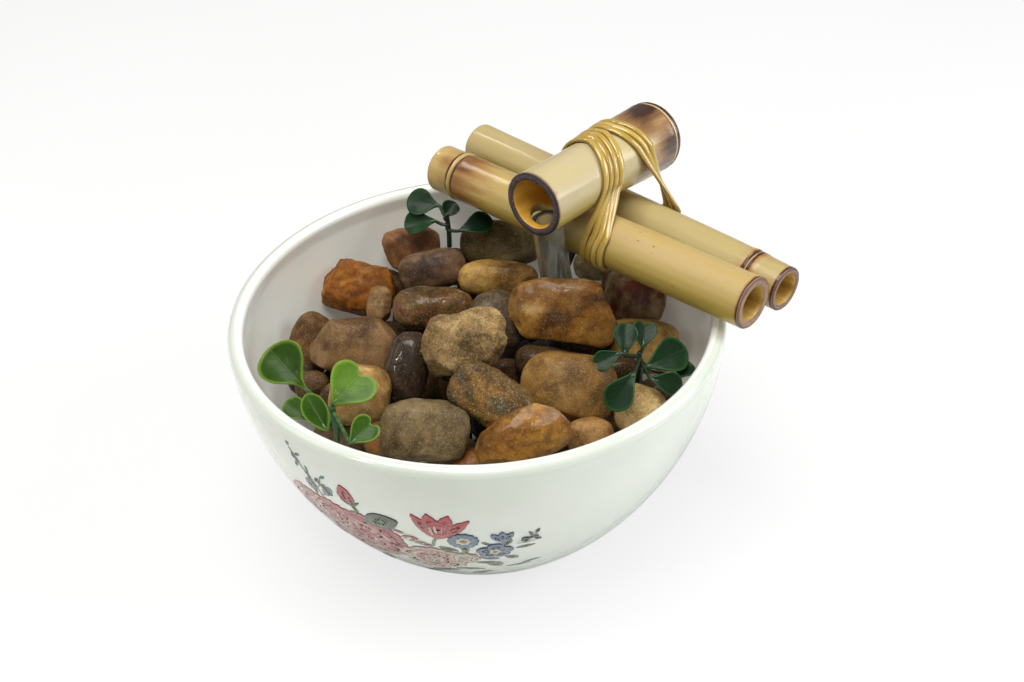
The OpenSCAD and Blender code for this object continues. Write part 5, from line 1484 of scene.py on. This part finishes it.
def leaf_part(centre, length, width, rot, shape, shade, form, seed, base_sign):
    """One thick leaf: a closed pillow with a raised rim; its base is at the base_sign end of
    its midrib."""
    cup, curl, fold = form
    tilt, turn = (math.radians(angle) for angle in rot)
    matrix = np.array(Matrix.Rotation(tilt, 3, "X") @ Matrix.Rotation(turn, 3, "Z"))
    length, width = length * LEAF_GROWTH, width * LEAF_GROWTH
    half = np.array(LEAF_SHAPES[shape])
    loop = np.vstack([half, (half * vec(1, -1))[1:-1][::-1]])
    outline = smooth_path(loop, 5, closed=True)
    count = len(outline)
    rings = (0.2, 0.4, 0.58, 0.74, 0.86, 0.94, 1.0)
    phase = np.random.default_rng(seed).uniform(0, 6.28)
    middle = vec(LEAF_MIDDLE, 0)
    points = np.vstack([middle] + [middle + (outline - middle) * share for share in rings])
    edge = np.concatenate([[0.0], np.repeat(rings, count)])
    along, across = points[:, 0], points[:, 1] * 2
    x, y = along * length, points[:, 1] * width
    hollow = np.sqrt((along - 0.6) ** 2 * 2.2 + across**2 + 0.02) ** 1.6
    z = cup * width * 0.26 * hollow * np.clip(along * 3, 0, 1)
    z = z - curl * length * 0.42 * (along - 0.15) ** 2
    z = z + fold * width * 0.55 * (np.sqrt(across**2 + 0.03) - 0.17)
    z = z + 0.16 * np.sin(7 * along + phase) * np.abs(across)
    z = z + 0.1 * np.sin(11 * along + 2 * phase) * across
    thick = 0.5 * (0.3 + 0.7 * np.sqrt(np.clip(1 - edge**4, 0, 1)))
    rim = 0.2 * np.clip((edge - 0.8) / 0.14, 0, 1) * np.clip(along * 4, 0, 1)
    groove = 0.16 * np.exp(-((y / 0.35) ** 2)) * np.clip(1 - along, 0, 1)
    x = (length / 2 - x) * base_sign
    local = np.vstack([np.column_stack([x, y, z + thick + rim - groove]),
                       np.column_stack([x, y, z - thick])])
    under = len(points)
    faces = fan(0, 1, count) + grid_faces(len(rings), count, base=1)
    below = fan(under, under + 1, count) + grid_faces(len(rings), count, base=under + 1)
    faces += [face[::-1] for face in below]
    last = 1 + (len(rings) - 1) * count
    for k in range(count):
        this, after = last + k, last + (k + 1) % count
        faces.append([this, under + this, under + after, after])
    leaf_uv = np.column_stack([across, along, np.full(under, shade)])
    attrs = {"luv": np.vstack([leaf_uv, leaf_uv]), "edge": np.concatenate([edge, edge])}
    return local @ matrix.T + vec(*centre), faces, attrs, 0


def bar_part(points, radii, sides=10):
    verts, faces, _ = sweep(points, radii, sides)
    attrs = {"luv": np.tile([0, 0.3, 0.3], (len(verts), 1)), "edge": np.zeros(len(verts))}
    return verts, faces, attrs, 1


def build_sprig(name, foot, top, leaves, materials, slot):
    foot, top = vec(*foot), vec(*top)
    parts = []
    for k, (centre, length, width, rot, stem_z, shape, shade, form) in enumerate(leaves):
        tilt, turn = (math.radians(angle) for angle in rot)
        midrib = vec(math.cos(turn), math.sin(turn) * math.cos(tilt),
                     math.sin(turn) * math.sin(tilt))
        hub = foot + (top - foot) * (stem_z - foot[2]) / (top[2] - foot[2])
        middle = vec(*centre)
        reach = midrib * (length / 2 - 0.6)
        nearer = np.linalg.norm(middle + reach - hub) < np.linalg.norm(middle - reach - hub)
        sign = 1 if nearer else -1
        parts.append(leaf_part(centre, length, width, rot, shape, shade, form, 40 + k, sign))
        # side stem, running on into the leaf
        base = middle + reach * sign
        sag = hub + (base - hub) * 0.5 + vec(0, 0, -0.35)
        points = smooth_path([hub, sag, base, middle + midrib * sign * (length / 2 - 3.0)], 5)
        radii = np.interp(np.linspace(0, 1, len(points)), [0, 0.6, 0.8, 1], [0.7, 0.62, 0.66, 0.45])
        parts.append(bar_part(points, radii))
    bow = (foot + top) / 2 + vec(0.3, 0.2, 0)
    points = smooth_path([foot, bow, top, top + vec(0, 0, 0.8)], 7)
    radii = np.interp(np.linspace(0, 1, len(points)), [0, 0.85, 1], [0.95, 0.85, 0.4])
    parts.append(bar_part(points, radii, sides=14))
    # buds and leaf joints on the main stem
    for k in range(5):
        joint = foot + (top - foot) * (0.45 + 0.12 * k)
        bud = [joint + cylinder(out, k * 2.4, z) for out, z in ((0, 0), (0.5, 0.55), (0.9, 1.3))]
        parts.append(bar_part(bud, [0.75, 0.7, 0.25]))
    make(name + "_leaves", materials, replaces=name, slot=slot, outward=True, **joined(parts))


dark_leaf = leaf_mat("dark", "051407", "0B2410", "173C18", "1E4A1E")
dark_leaf_right = leaf_mat("dark_right", "051407", "0C260E", "1A421A", "2C5A28")
light_leaf = leaf_mat("light", "182E05", "2C4A08", "567A12", "7A9836")
dark_stem = stem_mat("dark", "0E2014", "1C3A22")
light_stem = stem_mat("light", "20401F", "3F6C36")
build_sprig("sprig_back", (-9, 55.5, 70), (-9.2, 55, 83.4), BACK_LEAVES,
            [dark_leaf, dark_stem], "leaf_dark")
build_sprig("sprig_left", (-47, -40, 60), (-46.6, -41, 75.4), LEFT_LEAVES,
            [light_leaf, light_stem], "leaf_light")
build_sprig("sprig_right", (52, -21.5, 58), (51.4, -24, 76.5), RIGHT_LEAVES,
            [dark_leaf_right, dark_stem], "leaf_dark")

# ---------------------------------------------------------------- cord and plug
CORD_RADIUS = 1.78
RIM_AZIMUTH = math.radians(57)  # where the cord goes over the rim
# radius and height of the cord over the rim and down to the floor
CORD_OVER_RIM = [(69.6, 66), (74.2, 76), (75.2, 81.5), (76.6, 84.8), (79.9, 86.1), (83.3, 84.8),
                 (84.8, 81.3), (85.3, 75), (86, 58), (85, 32), (88, 12)]
# on the pump's axes, from the grommet up
CORD_IN_PUMP = [(9, 0, 22), (4, 0, 22), (-0.5, 0, 22), (-4.5, 0, 22.6), (-7.5, 1, 28),
                (-7, 2, 38), (-2, 5, 47)]
CORD_IN_BOWL = [(8, 17, 53), (21, 36, 54.5), (31, 49, 57)]
COIL_CENTRE, COIL_RADII = (34, 122), (26, 19)
COIL_FLOOR, COIL_RISE = 1.9, 4.1  # first height, and rise per turn
CORD_TAIL = [(10, 135, 12.8), (-4, 136, 10), (-12, 131, 7.4), (-13, 126, 7.2), (-13, 120, 7.2)]
PLUG_X, PLUG_Z = -13, 7.2
# plug sections: y, width, height, squareness
PLUG_SECTIONS = [
    (97.0, 22.6, 13.0, 4.5), (97.1, 23.4, 13.8, 4.5), (97.5, 24, 14.4, 4.5), (104.2, 24, 14.4, 4.5),
    (104.9, 23.4, 13.9, 4.5), (105.3, 20.4, 13.9, 4.5), (106, 20, 14, 4.4), (108, 19.2, 13.6, 4),
    (108.6, 18.4, 13.0, 4), (109.2, 19.2, 13.6, 4), (110.8, 19.0, 13.4, 4), (111.4, 18.2, 12.8, 4),
    (112, 19, 13.4, 4), (114.5, 18.6, 13.2, 4), (116.4, 16, 12.4, 3.6), (117.0, 12.5, 10.4, 3),
    (117.3, 8, 7.6, 2.4), (118.2, 6.6, 6.6, 2), (119.4, 6.4, 6.4, 2), (119.6, 5.7, 5.7, 2),
    (120.1, 5.7, 5.7, 2), (120.3, 6.3, 6.3, 2), (121.4, 6.2, 6.2, 2), (121.6, 5.5, 5.5, 2),
    (122.1, 5.5, 5.5, 2), (122.3, 6.0, 6.0, 2), (123.0, 5.6, 5.6, 2), (123.05, 3.72, 3.72, 2)]
SOCKET_SECTION = (118, 3.72, 3.72, 2)  # bottom of the hole the cord goes into


def plastic(name, dark, pale, rough=0.35, bump=0.02, coat=0.2, scale=900, scuff="3A3A3C"):
    mat = Mat(name)
    grain = mat.noise(scale=scale, detail=3, rough=0.6)
    clouds = mat.noise(scale=90, detail=3)
    wear = mat.fade(mat.noise(scale=240, detail=5, rough=0.7, distort=0.8), over=(0.6, 0.75))
    base = mat.blend(mat.ramp(clouds, {0.35: dark, 0.65: pale}), scuff, wear, amount=0.35)
    return mat.finish(color=base, coat=coat, coat_rough=0.25,
                      rough=mat.fade(clouds, over=(0.3, 0.7), to=(rough - 0.06, rough + 0.1)),
                      normal=mat.bump(grain, depth=bump, strength=0.9))


def build_cord(material):
    knots = [pump_point(*point) for point in CORD_IN_PUMP] + [vec(*p) for p in CORD_IN_BOWL]
    knots += [cylinder(radius, RIM_AZIMUTH, z) for radius, z in CORD_OVER_RIM]
    knots.append(vec(57, 92, 3.5))
    coil = []
    for degrees in range(-25, 1041, 20):
        x, y = COIL_CENTRE + polar(1, degrees) * COIL_RADII
        coil.append((x, y, COIL_FLOOR + max(0, degrees) * COIL_RISE / 360))
    path = [smooth_path(knots, 6)[:-1], smooth_path(coil, 3), smooth_path(CORD_TAIL, 6)]
    verts, faces, local = sweep(np.vstack(path), CORD_RADIUS, 20)
    make("power_cord_vinyl", [material], verts, faces, replaces="power_cord", slot="cord_vinyl",
         attrs={"lc": local * MM}, outward=True)


def build_plug(material):
    sides, rows = 44, len(PLUG_SECTIONS)

    def section(y, width, height, power):
        x, z = squircle(sides, power)
        return np.stack([PLUG_X + x * width / 2, np.full(sides, y), PLUG_Z + z * height / 2], -1)

    verts = [section(*row) for row in PLUG_SECTIONS]
    verts += [vec(PLUG_X, 97, PLUG_Z), vec(PLUG_X, 118, PLUG_Z), section(*SOCKET_SECTION)]
    count = rows * sides
    mouth, socket = count - sides, count + 2
    faces = grid_faces(rows, sides) + fan(count, 0, sides)
    for k in range(sides):
        k2 = (k + 1) % sides
        faces.append([mouth + k, mouth + k2, socket + k2, socket + k])
    faces += fan(count + 1, socket, sides)
    make("power_plug_moulded", [material], np.vstack(verts), faces, replaces="power_plug",
         slot=SLOT_OF.get("power_plug", "cord_vinyl"), outward=True)


cord_vinyl = plastic("cord_vinyl", "101012", "1A1A1D", rough=0.32, bump=0.03, coat=0.4)
plug_vinyl = plastic("plug_vinyl", "0F0F11", "19191C", rough=0.42, bump=0.05, scale=1500)
build_cord(cord_vinyl)
build_plug(plug_vinyl)

# ---------------------------------------------------------------- soft pump parts
# suction cup: radius and height
CUP_PROFILE = [
    (0.02, 1.0), (2.2, 0.55), (4.2, 0.0), (4.7, -0.02), (5.0, 0.05), (5.0, 0.2), (4.6, 0.62),
    (3.6, 1.6), (2.65, 2.6), (2.3, 3.4), (2.2, 4.2), (2.4, 4.7), (2.85, 5.2), (2.85, 5.4),
    (1.5, 5.4), (1.45, 5.9), (1.45, 6.4), (1.3, 6.5), (0.02, 6.5)]
SEAL_RADIUS, SEAL_THICKNESS = 10.65, 0.76  # both radii of the ring
# foam block: x on the pump's axes, share of its full section
FOAM_STATIONS = [(41.62, 0.9), (41.68, 0.96), (42.0, 0.99), (42.9, 1), (43.75, 1), (44.6, 1),
                 (45.5, 0.99), (45.82, 0.96), (45.88, 0.9)]
FOAM_HALF_WIDTH, FOAM_HALF_HEIGHT, FOAM_Z = 10.9, 12.9, 31.6

rubber = plastic("black_rubber", "1C1C1E", "29292B", rough=0.55, bump=0.05, coat=0.0, scale=1300)
cup_rubber = plastic("cup_rubber", "2A2B2E", "3A3B3F", rough=0.45, bump=0.03, coat=0.15)


def build_cups():
    cups = [revolve(CUP_PROFILE, pump_point(x, y, 8), 48)
            for x in (9.5, 26.5) for y in (-11.5, 11.5)]
    make("suction_cups_rubber", [cup_rubber], replaces="suction_cups", slot="cup_rubber",
         outward=True, **joined(cups))


def build_seal():
    """A ring about the pump's x axis."""
    profile = [(SEAL_RADIUS + SEAL_THICKNESS * math.cos(t), SEAL_THICKNESS * math.sin(t))
               for t in turn_angles(16)]
    pump_x = unit(pump_point(1, 0, 0) - pump_point(0, 0, 0))
    axes = (vec(0, 0, 1), np.cross(pump_x, vec(0, 0, 1)), pump_x)
    ring = revolve(profile, pump_point(31.78, 0, 33.2), 96, axes)
    make("chamber_seal_rubber", [rubber], replaces="chamber_seal", slot="black_rubber",
         outward=True, **joined([ring]))


def foam_mat():
    mat = Mat("foam")
    cell = mat.voronoi(scale=1150)
    clouds = mat.ramp(mat.noise(scale=120, detail=3), {0.3: "1F2226", 0.7: "34383D"})
    base = mat.blend(clouds, "0C0D0F", mat.fade(cell, over=(0.25, 0.5)))
    return mat.finish(color=base, rough=0.85, sheen=0.3, normal=mat.bump(cell, depth=0.5))


def build_foam():
    sides = 72
    across, upward = squircle(sides, 7.0)
    verts = []
    for x, share in FOAM_STATIONS:
        verts += [pump_point(x, y * FOAM_HALF_WIDTH * share, FOAM_Z + z * FOAM_HALF_HEIGHT * share)
                  for y, z in zip(across, upward)]
    verts += [pump_point(FOAM_STATIONS[i][0], 0, FOAM_Z) for i in (0, -1)]
    verts = np.array(verts)
    verts = verts + (fbm(verts / 1.6, 77, 3) * 0.1)[:, None] * unit(verts - verts.mean(0))
    make("filter_foam_open", [foam_mat()], verts, capped_faces(len(FOAM_STATIONS), sides),
         replaces="filter_foam", slot="foam", outward=True)


build_cups()
build_seal()
build_foam()


# ---------------------------------------------------------------- hard pump parts
def metal(name, dark, pale, rough, scale, stretch, bump=0.03):
    mat = Mat(name)
    grain = mat.noise(scale=scale, stretch=stretch, detail=4, rough=0.6)
    return mat.finish(color=mat.ramp(grain, {0.3: dark, 0.7: pale}), metal=1.0,
                      rough=mat.fade(grain, over=(0.3, 0.7), to=(rough - 0.1, rough + 0.12)),
                      normal=mat.bump(grain, depth=bump, strength=0.8))


def shaft_mat():
    mat = Mat("shaft_ceramic")
    grain = mat.noise(scale=1500, detail=3)
    return mat.finish(color=mat.ramp(grain, {0.35: "E4E0D4", 0.65: "F0EDE4"}), rough=0.3, coat=0.2,
                      normal=mat.bump(grain, depth=0.02, strength=0.6))


def dress_hard_parts():
    """These parts keep their CAD meshes."""
    black = plastic("pump_plastic", "121214", "1D1D20", rough=0.38, bump=0.05, coat=0.15,
                    scale=1100)
    looks = {
        "motor_housing": black, "chamber_cover": black, "strainer_cover": black,
        "stator_core": metal("laminated_steel", "6A6C70", "8D9094", rough=0.35, scale=60,
                             stretch=(1, 1, 40)),
        "coil_bobbins": plastic("bobbin_nylon", "CFC9B4", "DDD8C6", rough=0.4, bump=0.04,
                                coat=0.1, scale=800, scuff="A89F86"),
        "coil_windings": metal("copper_wire", "8E431C", "C46A35", rough=0.28, scale=90,
                               stretch=(1, 1, 60), bump=0.15),
        "potting_plug": plastic("epoxy", "1B1817", "2A2523", rough=0.25, bump=0.15, coat=0.5,
                                scale=160),
        "rotor_magnet": plastic("ferrite", "34312F", "464240", rough=0.55, bump=0.06, coat=0.0,
                                scale=700, scuff="5A5552"),
        "rotor_shaft": shaft_mat(),
        "shaft_bushings": rubber,
        "impeller": plastic("impeller_plastic", "D9D8D0", "E8E7E0", bump=0.03, scuff="B8B6AA"),
        "flow_slider": plastic("slider_plastic", "9E1512", "B8201A", bump=0.03, scuff="7A1310"),
        "cord_grommet": rubber,
        "plug_pins": metal("plug_brass", "A8843C", "D8BC70", rough=0.25, scale=300,
                           stretch=(1, 8, 1)),
    }
    for node, material in looks.items():
        mesh = NODES[node].data
        mesh.materials.clear()
        mesh.materials.append(material)
        mesh.polygons.foreach_set("material_index", [0] * len(mesh.polygons))


dress_hard_parts()

# ---------------------------------------------------------------- stage, light, camera (metres)
FLOOR_REACH, FLOOR_POINTS, FLOOR_Z = 4, 24, -0.0004
# name, place, target, width, height, power, colour
LIGHTS = [
    ("soft_top", (-0.12, -0.12, 1.15), (0, 0, 0.05), 0.75, 0.7, 11.5, (1.0, 0.99, 0.96)),
    ("soft_left", (-0.85, -0.05, 0.7), (0, 0, 0.06), 0.4, 0.6, 0.8, (1.0, 0.99, 0.97)),
    ("soft_right", (0.95, -0.15, 0.55), (0, 0, 0.06), 0.5, 0.7, 7.4, (0.93, 0.97, 1.0)),
    ("soft_front", (-0.12, -0.80, 0.62), (0, 0.04, 0.07), 0.5, 0.4, 0.2, (1.0, 1.0, 0.99)),
    ("strip_back", (-0.30, 0.45, 0.70), (0, 0, 0.08), 0.22, 0.02, 0.4, (1, 1, 1)),
    ("strip_front", (0.02, -0.55, 0.90), (0, 0, 0.08), 0.14, 0.02, 0.7, (1, 1, 1)),
    ("strip_left", (-0.60, -0.42, 0.62), (0, 0, 0.08), 0.02, 0.22, 0.7, (1, 1, 1))]
CAMERA_PLACE = (0, -0.3513, 0.3366)
CAMERA_YAW, CAMERA_PITCH, CAMERA_ROLL = (math.radians(a) for a in (1.83, 37.53, -2.14))


def floor_mat():
    """A pale sheet, lifted a little for the camera only, so it doesn't light the bowl."""
    mat = Mat("floor")
    mat.finish(color=mat.ramp(mat.noise(scale=3, detail=3), {0.3: "E4E4E2", 0.7: "EAEAE9"}),
               rough=0.6,
               normal=mat.bump(mat.noise(scale=180, detail=3), depth=0.05, strength=0.3))
    seen = mat.node("LightPath").outputs["Is Camera Ray"]
    lift = mat.node("Emission", {"Color": (1, 1, 1, 1), "Strength": 1.0})
    mixed = mat.node("MixShader", {0: mat.mul(seen, 0.72), 1: mat.shader.outputs[0],
                                   2: lift.outputs[0]})
    mat.put(mat.output.inputs[0], mixed.outputs[0])
    return mat.material


def build_floor():
    steps = np.linspace(-FLOOR_REACH, FLOOR_REACH, FLOOR_POINTS)
    mesh = bpy.data.meshes.new("floor")
    mesh.from_pydata([(x, y, FLOOR_Z) for y in steps for x in steps], [],
                     grid_faces(FLOOR_POINTS, FLOOR_POINTS, wrap_cols=False))
    mesh.materials.append(floor_mat())
    mesh.update()
    ob = bpy.data.objects.new("floor", mesh)
    bpy.context.scene.collection.objects.link(ob)


def add_light(name, place, target, width, height, power, tint):
    light = bpy.data.lights.new(name, "AREA")
    light.shape, light.size, light.size_y = "RECTANGLE", width, height
    light.energy, light.color = power, tint
    ob = bpy.data.objects.new(name, light)
    ob.location = place
    ob.rotation_mode = "QUATERNION"
    ob.rotation_quaternion = (Vector(target) - Vector(place)).to_track_quat("-Z", "Y")
    bpy.context.scene.collection.objects.link(ob)


def build_world():
    """Weak white light; seen directly, past the floor's edge, it is as pale as the floor."""
    world = bpy.data.worlds.new("white")
    bpy.context.scene.world = world
    world.use_nodes = True
    tree = world.node_tree
    tree.nodes.clear()

    def background(tint, strength):
        node = tree.nodes.new("ShaderNodeBackground")
        node.inputs[0].default_value, node.inputs[1].default_value = tint, strength
        return node.outputs[0]

    light = background(tint=(0.98, 0.99, 1.0, 1), strength=0.25)
    output = tree.nodes.new("ShaderNodeOutputWorld")
    sky = background(tint=(0.96, 0.96, 0.96, 1), strength=0.95)
    seen = tree.nodes.new("ShaderNodeLightPath").outputs["Is Camera Ray"]
    mixed = tree.nodes.new("ShaderNodeMixShader")
    for i, source in enumerate((seen, light, sky)):
        tree.links.new(source, mixed.inputs[i])
    tree.links.new(mixed.outputs[0], output.inputs[0])


def build_camera():
    data = bpy.data.cameras.new("photo_camera")
    data.sensor_width, data.lens = 36.0, 45.70
    data.clip_start, data.clip_end = 0.01, 20
    camera = bpy.data.objects.new("photo_camera", data)
    bpy.context.scene.collection.objects.link(camera)
    level = math.cos(CAMERA_PITCH)
    forward = Vector((math.sin(CAMERA_YAW) * level, math.cos(CAMERA_YAW) * level,
                      -math.sin(CAMERA_PITCH)))
    right = Vector((math.cos(CAMERA_YAW), -math.sin(CAMERA_YAW), 0))
    up = right.cross(forward)
    cos, sin = math.cos(CAMERA_ROLL), math.sin(CAMERA_ROLL)
    rotation = Matrix((right * cos + up * sin, -right * sin + up * cos, -forward)).transposed()
    camera.matrix_world = Matrix.Translation(CAMERA_PLACE) @ rotation.to_4x4()
    bpy.context.scene.camera = camera


build_floor()
for row in LIGHTS:
    add_light(*row)
build_world()
build_camera()
bpy.context.scene.view_settings.view_transform = "Standard"
bpy.context.scene.view_settings.look = "None"
